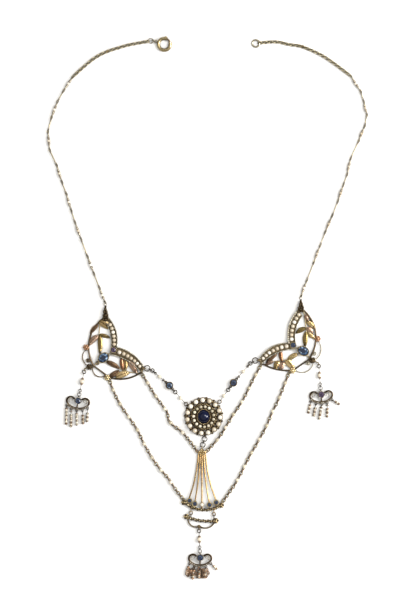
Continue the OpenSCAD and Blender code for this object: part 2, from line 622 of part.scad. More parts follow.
module plaque_left() { color(OLD_GOLD) on_plaque(PLAN_LEFT, -1) plaque(PLAN_LEFT, -1); }
module plaque_right() { color(OLD_GOLD) on_plaque(PLAN_RIGHT, 1) plaque(PLAN_RIGHT, 1); }
module plaque_pearls_left() { color(PEARL) on_plaque(PLAN_LEFT, -1) plaque_pearls(PLAN_LEFT); }
module plaque_pearls_right() { color(PEARL) on_plaque(PLAN_RIGHT, 1) plaque_pearls(PLAN_RIGHT); }
module notch_sapphire_left() { color(SAPPHIRE) on_plaque(PLAN_LEFT, -1) notch_sapphire(PLAN_LEFT); }
module notch_sapphire_right() { color(SAPPHIRE) on_plaque(PLAN_RIGHT, 1) notch_sapphire(PLAN_RIGHT); }
module oval_sapphire_left() { color(SAPPHIRE) on_plaque(PLAN_LEFT, -1) oval_sapphire(PLAN_LEFT); }
module oval_sapphire_right() { color(SAPPHIRE) on_plaque(PLAN_RIGHT, 1) oval_sapphire(PLAN_RIGHT); }

// Connectors between the plaques and the cluster

stone_eye_r = 0.5;
stone_eye_wire = 0.18;
connector_stone_r = 1.3;
connect_z = jump_z;
// How deep an eye's wire is sunk into the wall of its setting.
eye_sunk = 0.1;
// How far the middle of a setting's eye lies from its stone.
function eye_out(r_stone) = r_stone + seat_gap + cup_wall + stone_eye_r - eye_sunk;
big_ring_r = 1.25;
big_ring_wire = 0.22;
big_hop = linked(big_ring_r, big_ring_wire, jump_r, jump_wire);
jump_hop = linked(jump_r, jump_wire, jump_r, jump_wire);
pin_hop = linked(jump_r, jump_wire, eye_r, wire_r);
function cluster_eye(k) =
    let (eye = CLUSTER_EYES[k])
    CLUSTER_AT + eye[1] * [cos(eye[0]), sin(eye[0])];

// Between two rings lies a link and then a pin; these are the middles of the pin's eyes.
function pin_start(a, b) = a + (jump_hop + pin_hop) * unit(a, b);
function pin_end(a, b) = b - pin_hop * unit(a, b);

module linked_pin(a, b, roll) {
    ring(a + jump_hop * unit(a, b), connect_z, jump_r, jump_wire, 90 - roll, heading(a, b));
    eye_pin(pin_start(a, b), pin_end(a, b), connect_z, roll);
}

// The rings that stand upright at each side of the setting lie on the line to its stone.
side_out = eye_out(connector_stone_r) + linked(stone_eye_r, stone_eye_wire, jump_r, jump_wire);
function side_ring(stone, to) = stone + side_out * unit(stone, to);
function third_ring(run) = run[0] + (big_hop + jump_hop) * unit(run[0], run[1]);

module connector(run, stone, last) {
    above = side_ring(stone, run[1]);
    below = side_ring(stone, last);
    ring(run[0], connect_z, big_ring_r, big_ring_wire);
    ring(run[0] + big_hop * unit(run[0], run[1]), connect_z, jump_r, jump_wire, 90, heading(run[0], run[1]));
    ring(third_ring(run), connect_z, jump_r, jump_wire);
    linked_pin(third_ring(run), above, 0);
    ring(above, connect_z, jump_r, jump_wire, 90, heading(above, stone));
    collet(stone, setting_h, connector_stone_r);
    for (to = [above, below])
        ring(stone + eye_out(connector_stone_r) * unit(stone, to), connect_z, stone_eye_r, stone_eye_wire);
    ring(below, connect_z, jump_r, jump_wire, 90, heading(stone, below));
    linked_pin(below, last, 90);
}

module connector_pearls(run, stone, last) {
    above = side_ring(stone, run[1]);
    below = side_ring(stone, last);
    for (run_of = [[third_ring(run), above], [below, last]]) {
        a = pin_start(run_of[0], run_of[1]);
        b = pin_end(run_of[0], run_of[1]);
        pearl(mid(a, b), connect_z, connector_pearl_r, a, b);
    }
}

module connector_sapphire(stone) { cut_stone(stone, setting_h - 0.15, connector_stone_r); }

module connector_left() { color(OLD_GOLD) connector(CONNECT_LEFT, STONE_LEFT, cluster_eye(0)); }
module connector_right() { color(OLD_GOLD) connector(CONNECT_RIGHT, STONE_RIGHT, cluster_eye(1)); }
module connector_pearls_left() { color(PEARL) connector_pearls(CONNECT_LEFT, STONE_LEFT, cluster_eye(0)); }
module connector_pearls_right() { color(PEARL) connector_pearls(CONNECT_RIGHT, STONE_RIGHT, cluster_eye(1)); }
module connector_sapphire_left() { color(SAPPHIRE) connector_sapphire(STONE_LEFT); }
module connector_sapphire_right() { color(SAPPHIRE) connector_sapphire(STONE_RIGHT); }

// Cluster

base_h = 0.7;
cup_h = 1.0;
tier_r = 5.75;
tier_h = 1.9;
collar_h = 3.0;
collar_wall = 0.4;
rim_grain_r = 0.5;
eye_stalk_r = 0.3;
eye_stalk_z = 0.85;
hang_eye_r = 0.58;
cluster_step = 360 / cluster_pearls;
cluster_first = -2.4;

// Places its children once for each pearl of a row, on a circle of the given radius.
module cluster_row(r, turn = 0) {
    for (i = [0:cluster_pearls - 1])
        translate([CLUSTER_AT[0], CLUSTER_AT[1], 0]) rotate([0, 0, cluster_first + turn + i * cluster_step])
            translate([r, 0, 0]) children();
}

module cluster_frame() {
    cup_r = outer_pearl_r * 0.8;
    gap_r = 0.42;
    gap_in = 0.95;
    base_r = cluster_r - 0.35;
    color(OLD_GOLD) {
        difference() {
            union() {
                translate([CLUSTER_AT[0], CLUSTER_AT[1], 0]) {
                    cylinder(h = base_h, r = base_r, $fn = 64);
                    cylinder(h = tier_h, r = tier_r, $fn = 64);
                    linear_extrude(collar_h)
                        polygon(oval(cabochon_w / 2 + seat_gap + collar_wall, 1, cabochon_l / cabochon_w));
                }
                cluster_row(outer_row_r) cylinder(h = cup_h, r = cup_r, $fn = round_fn);
            }
            // Pierced gaps between the cups, and the seat of the cabochon
            cluster_row(outer_row_r - gap_in, cluster_step / 2) translate([0, 0, -base_h])
                cylinder(h = 3 * base_h, r = gap_r, $fn = round_fn);
            translate([CLUSTER_AT[0], CLUSTER_AT[1], tier_h]) linear_extrude(collar_h)
                polygon(oval(cabochon_w / 2 + seat_gap, 1, cabochon_l / cabochon_w));
        }
        cluster_row(cluster_r - 0.1, cluster_step / 2) translate([0, 0, rim_grain_r])
            sphere(r = rim_grain_r, $fn = 14);
        for (k = [0:1]) ring(cluster_eye(k), connect_z, jump_r, jump_wire);
        ring(cluster_eye(2), connect_z, hang_eye_r, jump_wire, 90, CLUSTER_EYES[2][0]);
        for (k = [0:2]) {
            inward = unit(cluster_eye(k), CLUSTER_AT);
            wire(cluster_eye(k) + (k < 2 ? jump_r : hang_eye_r) * inward,
                CLUSTER_AT - (base_r - 0.3) * inward, eye_stalk_z, eye_stalk_r);
        }
    }
}

module outer_pearls() {
    color(PEARL) cluster_row(outer_row_r) translate([0, 0, cup_h + seat_gap + outer_pearl_r])
        sphere(r = outer_pearl_r, $fn = ring_fn);
}

module inner_pearls() {
    color(PEARL) cluster_row(inner_row_r, cluster_step / 2)
        translate([0, 0, tier_h + seat_gap + inner_pearl_r]) sphere(r = inner_pearl_r, $fn = ring_fn);
}

module cabochon() {
    dome_h = 2.7;
    // Height of the dome's edge at the two ends of the oval
    edge_h = 0.4;
    rise = dome_h - edge_h;
    dome_r = (pow(cabochon_l / 2, 2) + rise * rise) / (2 * rise);
    color(NAVY) translate([CLUSTER_AT[0], CLUSTER_AT[1], tier_h + seat_gap]) intersection() {
        translate([0, 0, dome_h - dome_r]) sphere(r = dome_r, $fn = 64);
        linear_extrude(dome_h + 1) polygon(oval(cabochon_w / 2, 1, cabochon_l / cabochon_w));
    }
}

// Rings that hold the fountain under the cluster: wide, small and wide
hang_hop = linked(hang_eye_r, jump_wire, wide_r, jump_wire);
hang_step = linked(wide_r, jump_wire, jump_r, jump_wire);
hang_total = 2 * (hang_hop + hang_step);
fountain_eye = FOUNTAIN_TOP + [0, 0.6];

module cluster_rings() {
    from = cluster_eye(2);
    color(OLD_GOLD) {
        for (s = [hang_hop, hang_hop + 2 * hang_step])
            ring(mix(from, fountain_eye, s / hang_total), connect_z, wide_r, jump_wire);
        ring(mid(from, fountain_eye), connect_z, jump_r, jump_wire, 90, heading(from, fountain_eye));
    }
}

// Fountain of wires over its gallery of stones

fountain_z = 0.8;
wire_pitch = 0.78;
// Share of a wire's spread that it has made half way down.
wire_spread = 0.29;
gallery_h = 1.3;
gallery_w = 0.9;
gallery_cup_h = 1.6;
gallery_pearl_r = 0.85;
pearl_cup_h = 0.8;
bar_eye_r = 0.48;
bar_stalk_r = 0.22;
bar_grain_r = 0.6;
boss_r = 0.78;
boss_rise = 1.1;
bow_grain_z = 0.66;
bow_link = linked(jump_r, jump_wire, bar_eye_r, wire_r);

module fountain_wire(i) {
    top = FOUNTAIN_TOP + [(i - 2) * wire_pitch, -1.3];
    foot = WIRE_FEET[i];
    if (abs(top[0] - foot[0]) < wire_pitch) wire(top, foot, fountain_z, fountain_wire_r);
    else bent_wire([top, [mix(top[0], foot[0], wire_spread), mix(top[1], foot[1], 0.5)], foot],
        fountain_z, fountain_wire_r);
}

module fountain() {
    color(GOLD) {
        for (i = [0:4]) fountain_wire(i);
        translate([0, 0, 0.3]) linear_extrude(1) polygon([FOUNTAIN_TOP + [-0.5, 0], FOUNTAIN_TOP + [0.5, 0],
            FOUNTAIN_TOP + [2.0, -2.4], FOUNTAIN_TOP + [-2.0, -2.4]]);
        ring(fountain_eye, connect_z, hang_eye_r, jump_wire, 90, 90);
        for (side = [-1, 1]) ring(FOUNTAIN_TOP + [side * 2.2, -1.2], fountain_z, hook_r, hook_wire);
        band(arc(GALLERY, 12), gallery_w, 0, gallery_h);
        for (at = GALLERY_CLUSTERS) grain_bed(at, 0.75, bar_grain_r);
        for (at = GALLERY_STONES) {
            collet(at, gallery_cup_h, gallery_stone_r);
            wire(at - [0, 1.05], at - [0, 2.1], 0.7, 0.35);
        }
        translate([GALLERY_PEARL[0], GALLERY_PEARL[1], 0]) cylinder(h = pearl_cup_h, r = 1, $fn = round_fn);
        wire(GALLERY_PEARL, GALLERY_PEARL - [0, 2], 0.4, 0.35);
        for (at = BOW_RINGS) {
            ring(at + [0, bow_link], fountain_z, bar_eye_r, wire_r, 90, 90);
            wire(at + [0, bow_link + bar_eye_r], at + [0, 2.6], fountain_z, bar_stalk_r);
        }
    }
}

module fountain_sapphires() {
    color(SAPPHIRE) for (at = GALLERY_STONES) cut_stone(at, gallery_cup_h - 0.15, gallery_stone_r);
}

module fountain_pearl() {
    color(PEARL) whole_pearl(GALLERY_PEARL, pearl_cup_h + seat_gap + gallery_pearl_r, gallery_pearl_r);
}

module bow_rings() {
    color(OLD_GOLD) for (at = BOW_RINGS) ring(at, fountain_z, jump_r, jump_wire, 0);
}

module bow_bar() {
    color(OLD_GOLD) {
        band(arc(BOW, 10), gallery_w, 0, gallery_h);
        for (at = BOW_CLUSTERS) grain_bed(at, bow_grain_z, bar_grain_r);
        for (at = BOW_RINGS) {
            ring(at - [0, bow_link], fountain_z, bar_eye_r, wire_r, 90, 90);
            wire(at - [0, bow_link + bar_eye_r], at - [0, 3.0], fountain_z, bar_stalk_r);
        }
        for (p = GARLANDS) band(arc(p, 10), 2 * stalk_r, stalk_r, 2 * stalk_r);
        // The boss in which the garlands and the drop's hook meet
        translate(concat(drop_hook(DROP_CENTRE) + [0, boss_rise], 0))
            cylinder(h = gallery_h, r = boss_r, $fn = ring_fn);
        ring(drop_hook(DROP_CENTRE), drop_z, hook_r, hook_wire, 90, 90);
        wire(drop_hook(DROP_CENTRE) + [0, hook_r], drop_hook(DROP_CENTRE) + [0, 1.2], drop_z, stalk_r);
    }
}

// Drops

hook_r = 0.55;
hook_wire = 0.2;
drop_stone_r = 1.2;
scroll_w = 1.0;
scroll_h = 1.2;
scroll_span = 4.6;
scroll_fall = 1.8;
curl_r = 0.42;
strand_z = 0.7;
strands = 5;
end_ball_r = 0.3;
// Distance of a strand's lowest pearl from its end, and from one pearl to the next
pearl_up = 1.15;
pearl_pitch = 1.75;
SCROLL_ARC = [[-scroll_span, -scroll_fall], [0, -2 * scroll_fall], [scroll_span, -scroll_fall]];

function drop_hook(plan) = of(plan, "hook");
function turned(p, a) = [p[0] * cos(a) - p[1] * sin(a), p[0] * sin(a) + p[1] * cos(a)];
// Line from the stone up to the hook
function drop_line(plan) = unit(of(plan, "stone"), drop_hook(plan));
hook_hop = linked(hook_r, hook_wire, jump_r, jump_wire);
low_out = eye_out(drop_stone_r) + linked(stone_eye_r, stone_eye_wire, jump_r, wire_r);
function drop_top_ring(plan) = drop_hook(plan) - hook_hop * drop_line(plan);
function drop_low_ring(plan) = of(plan, "stone") + low_out * drop_line(plan);
function drop_low_link(plan) =
    drop_low_ring(plan) + linked(jump_r, wire_r, link_r, wire_r) * drop_line(plan);
function drop_pin_top(plan) =
    drop_top_ring(plan) - pin_hop * drop_line(plan);
function drop_pin_foot(plan) =
    drop_upper_link(plan) + linked(link_r, wire_r, eye_r, wire_r) * drop_line(plan);
function drop_upper_link(plan) =
    drop_low_link(plan) + linked(link_r, wire_r, link_r, wire_r) * drop_line(plan);

module drop_chain(plan) {
    lean = heading(of(plan, "stone"), drop_hook(plan));
    ring(drop_top_ring(plan), drop_z, jump_r, jump_wire);
    eye_pin(drop_pin_top(plan), drop_pin_foot(plan), drop_z, 90);
    ring(drop_upper_link(plan), drop_z, link_r, wire_r);
    ring(drop_low_link(plan), drop_z, link_r, wire_r, 90, lean);
    ring(drop_low_ring(plan), drop_z, jump_r, wire_r);
}

module drop_pearl(plan) {
    a = drop_pin_top(plan);
    b = drop_pin_foot(plan);
    pearl(mix(a, b, 0.5), drop_z, drop_pearl_r, a, b);
}

// Loops along the scroll's lower edge, in the drop's own turn
function loop_at(plan, k) =
    let (t = 0.04 + 0.92 * k / (strands - 1), q = on_arc(SCROLL_ARC, t), c = circle_of(SCROLL_ARC)[0])
    of(plan, "stone") + turned(q + (scroll_w / 2 + 0.35) * unit(c, q), of(plan, "turn"));
function strand_end(plan, k) = of(plan, "stone") + of(plan, "ends")[k];
function strand_top(plan, k) =
    loop_at(plan, k) + linked(eye_r, wire_r, eye_r, wire_r) * unit(loop_at(plan, k), strand_end(plan, k));

module drop_scroll(plan) {
    at = of(plan, "stone");
    collet(at, setting_h, drop_stone_r);
    ring(at + eye_out(drop_stone_r) * drop_line(plan), drop_z, stone_eye_r, stone_eye_wire, 90,
        heading(at, drop_hook(plan)));
    translate([at[0], at[1], 0]) rotate([0, 0, of(plan, "turn")]) {
        band(arc(SCROLL_ARC, 10), scroll_w, 0, scroll_h);
        wire([0, -drop_stone_r - seat_gap - cup_wall / 2], [0, -2 * scroll_fall], strand_z, 0.35);
        for (side = [-1, 1])
            bent_wire([[side * 4.4, -1.8], [side * 4.1, 1.2], [side * 1.7, 0.5]], 0.75, curl_r);
    }
    for (k = [0:strands - 1]) ring(loop_at(plan, k), strand_z, eye_r, wire_r);
}

module drop_strands(plan) {
    for (k = [0:strands - 1]) {
        top = strand_top(plan, k);
        end = strand_end(plan, k);
        ring(top, strand_z, eye_r, wire_r, 90, heading(top, end));
        wire(top + eye_r * unit(top, end), end, strand_z, pin_r);
        translate([end[0], end[1], strand_z]) sphere(r = end_ball_r, $fn = round_fn);
    }
}

module strand_pearls(plan) {
    for (k = [0:strands - 1]) {
        top = strand_top(plan, k);
        end = strand_end(plan, k);
        room = norm(top - end) - eye_r - wire_r - strand_pearl_r - 0.1;
        for (up = [pearl_up:pearl_pitch:room])
            pearl(end + up * unit(end, top), strand_z, strand_pearl_r, top, end);
    }
}

module drop_sapphire(plan) { cut_stone(of(plan, "stone"), setting_h - 0.15, drop_stone_r); }

module drop_chain_left() { color(OLD_GOLD) drop_chain(DROP_LEFT); }
module drop_pearl_left() { color(PEARL) drop_pearl(DROP_LEFT); }
module drop_scroll_left() { color(GOLD) drop_scroll(DROP_LEFT); }
module drop_sapphire_left() { color(SAPPHIRE) drop_sapphire(DROP_LEFT); }
module drop_strands_left() { color(OLD_GOLD) drop_strands(DROP_LEFT); }
module strand_pearls_left() { color(PEARL) strand_pearls(DROP_LEFT); }
module drop_chain_right() { color(OLD_GOLD) drop_chain(DROP_RIGHT); }
module drop_pearl_right() { color(PEARL) drop_pearl(DROP_RIGHT); }
module drop_scroll_right() { color(GOLD) drop_scroll(DROP_RIGHT); }
module drop_sapphire_right() { color(SAPPHIRE) drop_sapphire(DROP_RIGHT); }
module drop_strands_right() { color(OLD_GOLD) drop_strands(DROP_RIGHT); }
module strand_pearls_right() { color(PEARL) strand_pearls(DROP_RIGHT); }
module drop_chain_centre() { color(OLD_GOLD) drop_chain(DROP_CENTRE); }
module drop_pearl_centre() { color(PEARL) drop_pearl(DROP_CENTRE); }
module drop_scroll_centre() { color(GOLD) drop_scroll(DROP_CENTRE); }
module drop_sapphire_centre() { color(SAPPHIRE) drop_sapphire(DROP_CENTRE); }
module drop_strands_centre() { color(OLD_GOLD) drop_strands(DROP_CENTRE); }
module strand_pearls_centre() { color(PEARL) strand_pearls(DROP_CENTRE); }

clasp_ring();
clasp_bolt();
clasp_links();
end_ring();
trace_chain_left();
trace_chain_right();
neck_chain_left();
neck_chain_right();
neck_pearls_left();
neck_pearls_right();
plaque_left();
plaque_right();
plaque_pearls_left();
plaque_pearls_right();
notch_sapphire_left();
notch_sapphire_right();
oval_sapphire_left();
oval_sapphire_right();
connector_left();
connector_right();
connector_pearls_left();
connector_pearls_right();
connector_sapphire_left();
connector_sapphire_right();
cluster_frame();
cabochon();
outer_pearls();
inner_pearls();
cluster_rings();
fountain();
fountain_sapphires();
fountain_pearl();
bow_bar();
bow_rings();
inner_swag_left();
inner_swag_right();
outer_swag_left();
outer_swag_right();
drop_chain_left();
drop_pearl_left();
drop_scroll_left();
drop_sapphire_left();
drop_strands_left();
strand_pearls_left();
drop_chain_right();
drop_pearl_right();
drop_scroll_right();
drop_sapphire_right();
drop_strands_right();
strand_pearls_right();
drop_chain_centre();
drop_pearl_centre();
drop_scroll_centre();
drop_sapphire_centre();
drop_strands_centre();
strand_pearls_centre();
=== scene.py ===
import random
from collections import defaultdict
from math import atan2, cos, dist, hypot, pi, radians, sin, sqrt, tau

import bmesh
import bpy
from mathutils import Matrix, Vector


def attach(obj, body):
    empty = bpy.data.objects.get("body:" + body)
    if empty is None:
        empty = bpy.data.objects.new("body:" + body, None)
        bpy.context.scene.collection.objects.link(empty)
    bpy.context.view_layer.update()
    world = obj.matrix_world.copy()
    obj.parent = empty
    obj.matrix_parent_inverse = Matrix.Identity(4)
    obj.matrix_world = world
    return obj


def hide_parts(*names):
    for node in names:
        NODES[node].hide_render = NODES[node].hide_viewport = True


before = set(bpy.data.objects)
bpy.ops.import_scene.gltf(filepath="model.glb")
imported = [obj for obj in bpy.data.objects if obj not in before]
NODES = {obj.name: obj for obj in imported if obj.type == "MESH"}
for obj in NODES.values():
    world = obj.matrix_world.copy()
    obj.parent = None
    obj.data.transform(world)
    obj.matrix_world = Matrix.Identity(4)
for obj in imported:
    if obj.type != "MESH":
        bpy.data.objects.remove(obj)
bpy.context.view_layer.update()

# All shapes below are drawn in millimetres, in the frame's own axes.
MM = 0.001


# Camera, lights and floor

# The point under the camera, and the camera's height in metres
VIEW_AT = (-0.8, 3.4)
CAMERA_UP = 1.125
# Each light's place and size in metres, its power and its colour
LIGHTS = {
    "key": ((0.46, 0.26, 0.74), 0.4, 4.2, (1.0, 0.98, 0.95)),
    "window": ((0.8, 0.0, 0.46), 0.4, 9.0, (1.0, 1.0, 1.0)),
    "fill": ((-0.62, 0.3, 0.62), 0.45, 2.7, (0.97, 0.98, 1.0)),
    "front": ((0.05, -0.75, 0.55), 0.45, 2.0, (1.0, 0.99, 0.98)),
}
# The lights that show in the metal and the stones
GLOSSY_LIGHTS = ("key", "window")
# The sky's brightness, from 0 at the horizon to 1 straight up
SKY = [(0.0, 0.05), (0.45, 0.24), (0.8, 0.8), (0.97, 0.56)]
FLOOR_HALF = 1500.0
# The floor lies a little below the underside, so that the two don't share a plane.
FLOOR_Z = -0.02


def add_object(name, data):
    obj = bpy.data.objects.new(name, data)
    bpy.context.scene.collection.objects.link(obj)
    return obj


def make_camera():
    data = bpy.data.cameras.new("camera")
    data.lens = 100
    data.sensor_fit = "VERTICAL"
    data.sensor_height = 24
    data.clip_start = 0.01
    camera = add_object("camera", data)
    camera.location = (VIEW_AT[0] * MM, VIEW_AT[1] * MM, CAMERA_UP)
    bpy.context.scene.camera = camera


def area_light(name, at, size, power, colour):
    data = bpy.data.lights.new(name, "AREA")
    data.shape = "DISK"
    data.size = size
    data.energy = power
    data.color = colour
    light = add_object(name, data)
    light.location = at
    light.rotation_euler = (-Vector(at)).to_track_quat("-Z", "Y").to_euler()
    light.visible_glossy = name in GLOSSY_LIGHTS


# Materials

# How far the darkening of the hollows reaches, in metres: patina and painted shade on the metal, painted
# shade on the pearls
METAL_SHADE_REACH = 0.0008
PEARL_SHADE_REACH = 0.0009
PEARL_MIDDLE = (0.7, 0.62, 0.49)
# Painted shade on the pearls: the tone where each is seated, and the tone of its flanks
PEARL_SEAT_SHADE = (0.1, 0.07, 0.04)
PEARL_FLANK_SHADE = (0.14, 0.105, 0.065)


def plug(node, inputs):
    """Sets a node's inputs, or links those whose value is another node's output."""
    for key, value in inputs.items():
        if isinstance(value, bpy.types.NodeSocket):
            node.id_data.links.new(value, node.inputs[key])
        else:
            node.inputs[key].default_value = value


def add_node(tree, kind, inputs=None, **settings):
    node = tree.nodes.new("ShaderNode" + kind)
    for key, value in settings.items():
        setattr(node, key, value)
    plug(node, inputs or {})
    return node


def new_material(name):
    material = bpy.data.materials.new(name)
    material.use_nodes = True
    tree = material.node_tree
    return material, tree, tree.nodes["Principled BSDF"], millimetres(tree)


def millimetres(tree):
    """Object coordinates, one unit to the millimetre, for the patterns."""
    place = add_node(tree, "TexCoord").outputs["Object"]
    return add_node(tree, "Mapping", {"Vector": place, "Scale": (1 / MM,) * 3}).outputs["Vector"]


def noise(tree, vector, scale, detail=3.0, rough=0.55):
    inputs = {"Vector": vector, "Scale": scale, "Detail": detail, "Roughness": rough}
    return add_node(tree, "TexNoise", inputs).outputs["Fac"]


def rgba(colour):
    """A colour for a socket, from a grey or three numbers; another node's output stays as it is."""
    if isinstance(colour, (int, float)):
        return colour, colour, colour, 1
    return (*colour, 1) if isinstance(colour, tuple) else colour


def ramp(tree, value, stops):
    """A colour ramp; each stop is a position and a colour or a grey."""
    node = add_node(tree, "ValToRGB", {"Fac": value})
    marks = node.color_ramp.elements
    while len(marks) < len(stops):
        marks.new(0.5)
    for mark, (position, colour) in zip(marks, stops):
        mark.position = position
        mark.color = rgba(colour)
    return node.outputs["Color"]


def mix(tree, factor, a, b, mode="MIX"):
    # Inputs 6 and 7 and output 2 are the node's colours.
    inputs = {0: factor, 6: rgba(a), 7: rgba(b)}
    return add_node(tree, "Mix", inputs, data_type="RGBA", blend_type=mode).outputs[2]


def bump(tree, height, strength, distance):
    inputs = {"Height": height, "Strength": strength, "Distance": distance}
    return add_node(tree, "Bump", inputs).outputs["Normal"]


def upward(tree, shape, low, high):
    """How far the surface faces up, for painted shade: the upper side keeps its colour and the flanks are
    darkened.
    """
    parts = add_node(tree, "SeparateXYZ", {"Vector": shape.outputs["Normal"]})
    return ramp(tree, parts.outputs["Z"], [(low, 0), (high, 1)])


def openness(tree, reach, low, high):
    """How freely the surface lies, from deep hollows to open faces."""
    occlusion = add_node(tree, "AmbientOcclusion", {"Distance": reach}, samples=6)
    return ramp(tree, occlusion.outputs["AO"], [(low, 0), (high, 1)])


def metal(name, body, warm, patina_and_shade, edge, rough=0.34, stipple=0.0):
    """Gold: patina and painted shade in the hollows, painted shade on the flanks, worn edges with a painted
    highlight, cloudy colour, fine scratches.
    """
    body, warm, patina_and_shade, edge = (tuple(part / 1000 for part in tone) for tone in (body, warm, patina_and_shade, edge))
    material, tree, shader, place = new_material(name)
    cloud = ramp(tree, noise(tree, place, 0.42, 4), [(0.36, 0), (0.64, 1)])
    colour = mix(tree, cloud, body, warm)
    fine = noise(tree, place, 3.1, 5, 0.65)
    dull = ramp(tree, fine, [(0.42, 0.62), (0.66, 1.12)])
    colour = mix(tree, 1.0, colour, dull, "MULTIPLY")
    # Patina and painted shade: the hollows, and parts close to a neighbour or to the floor, take the dark
    # tone
    open_part = openness(tree, METAL_SHADE_REACH, 0.4, 0.93)
    colour = mix(tree, open_part, patina_and_shade, colour)
    shape = add_node(tree, "NewGeometry")
    # Worn edges with a painted highlight: the sharp outer edges take the pale edge tone
    wear_and_highlight = ramp(tree, shape.outputs["Pointiness"], [(0.53, 0), (0.6, 0.7)])
    colour = mix(tree, wear_and_highlight, colour, edge)
    # Painted shade: the flanks darken to the dark tone, which outlines each wire and leaf
    colour = mix(tree, upward(tree, shape, 0.05, 0.72), patina_and_shade, colour)
    shine = ramp(tree, fine, [(0.35, rough - 0.12), (0.7, rough + 0.16)])
    shine = mix(tree, open_part, 0.62, shine)
    relief, strength = fine, 0.35
    if stipple:
        dots = add_node(tree, "TexVoronoi", {"Vector": place, "Scale": stipple})
        relief, strength = dots.outputs["Distance"], 0.55
    normal = bump(tree, relief, strength, 0.00008)
    plug(shader, {"Base Color": colour, "Metallic": 1.0, "Roughness": shine, "Normal": normal})
    return material


def pearl_material(name, body, shade):
    """Nacre: each pearl takes its own tone at random between body and shade; painted shade darkens it where
    it is seated and on its flanks.
    """
    material, tree, shader, place = new_material(name)
    one = add_node(tree, "NewGeometry")
    own = ramp(tree, one.outputs["Random Per Island"], [(0.0, body), (0.55, PEARL_MIDDLE), (1.0, shade)])
    cloud = ramp(tree, noise(tree, place, 0.9, 3), [(0.35, 0.8), (0.68, 1.06)])
    colour = mix(tree, 1.0, own, cloud, "MULTIPLY")
    # Painted shade where each pearl is seated and where it nears its neighbours
    colour = mix(tree, openness(tree, PEARL_SHADE_REACH, 0.3, 0.92), PEARL_SEAT_SHADE, colour)
    # Painted shade: each pearl's flanks darken, as a dark outline
    colour = mix(tree, upward(tree, one, 0.0, 0.62), PEARL_FLANK_SHADE, colour)
    shine = ramp(tree, noise(tree, place, 2.2, 3), [(0.3, 0.2), (0.75, 0.36)])
    plug(shader, {"Base Color": colour, "Roughness": shine, "Subsurface Weight": 0.12,
                  "Subsurface Radius": (0.6, 0.5, 0.4), "Subsurface Scale": 0.0006,
                  "Coat Weight": 0.7, "Coat Roughness": 0.12,
                  "Normal": bump(tree, noise(tree, place, 5.0, 4), 0.25, 0.00004)})
    return material


def cut_stone_material(name, stops):
    """A cut stone: each facet takes its own tone from the way it faces; the dark tones are the stone's
    blue, the pale ones painted reflections.
    """
    material, tree, shader, place = new_material(name)
    shape = add_node(tree, "NewGeometry")
    # Painted reflections: the way each facet faces picks its tone, up to pale glints
    colour = ramp(tree, noise(tree, shape.outputs["True Normal"], 6.5, 2), stops)
    cloud = ramp(tree, noise(tree, place, 1.1, 2), [(0.3, 0.7), (0.7, 1.15)])
    polish = ramp(tree, noise(tree, place, 2.0, 2), [(0.3, 0.05), (0.8, 0.14)])
    plug(shader, {"Base Color": mix(tree, 1.0, colour, cloud, "MULTIPLY"), "Roughness": polish,
                  "IOR": 1.6, "Coat Weight": 0.3, "Coat Roughness": 0.03})
    return material


def cabochon_material():
    material, tree, shader, place = new_material("navy_cabochon")
    colour = ramp(tree, noise(tree, place, 0.3, 4), [
        (0.3, (0.001, 0.001, 0.006)), (0.55, (0.002, 0.004, 0.022)), (0.8, (0.008, 0.018, 0.06))])
    polish = ramp(tree, noise(tree, place, 1.6, 4), [(0.3, 0.03), (0.8, 0.09)])
    plug(shader, {"Base Color": colour, "Roughness": polish, "IOR": 1.42,
                  "Normal": bump(tree, noise(tree, place, 0.8, 2), 0.12, 0.0002)})
    return material


def floor_material():
    material, tree, shader, place = new_material("pale_floor")
    cloud = noise(tree, place, 0.012, 3)
    colour = ramp(tree, cloud, [(0.3, (0.86, 0.845, 0.815)), (0.7, (0.89, 0.875, 0.845))])
    grain = noise(tree, place, 1.4, 5)
    plug(shader, {"Base Color": colour, "Roughness": ramp(tree, grain, [(0.3, 0.6), (0.7, 0.8)]),
                  "Normal": bump(tree, grain, 0.1, 0.0001)})
    return material


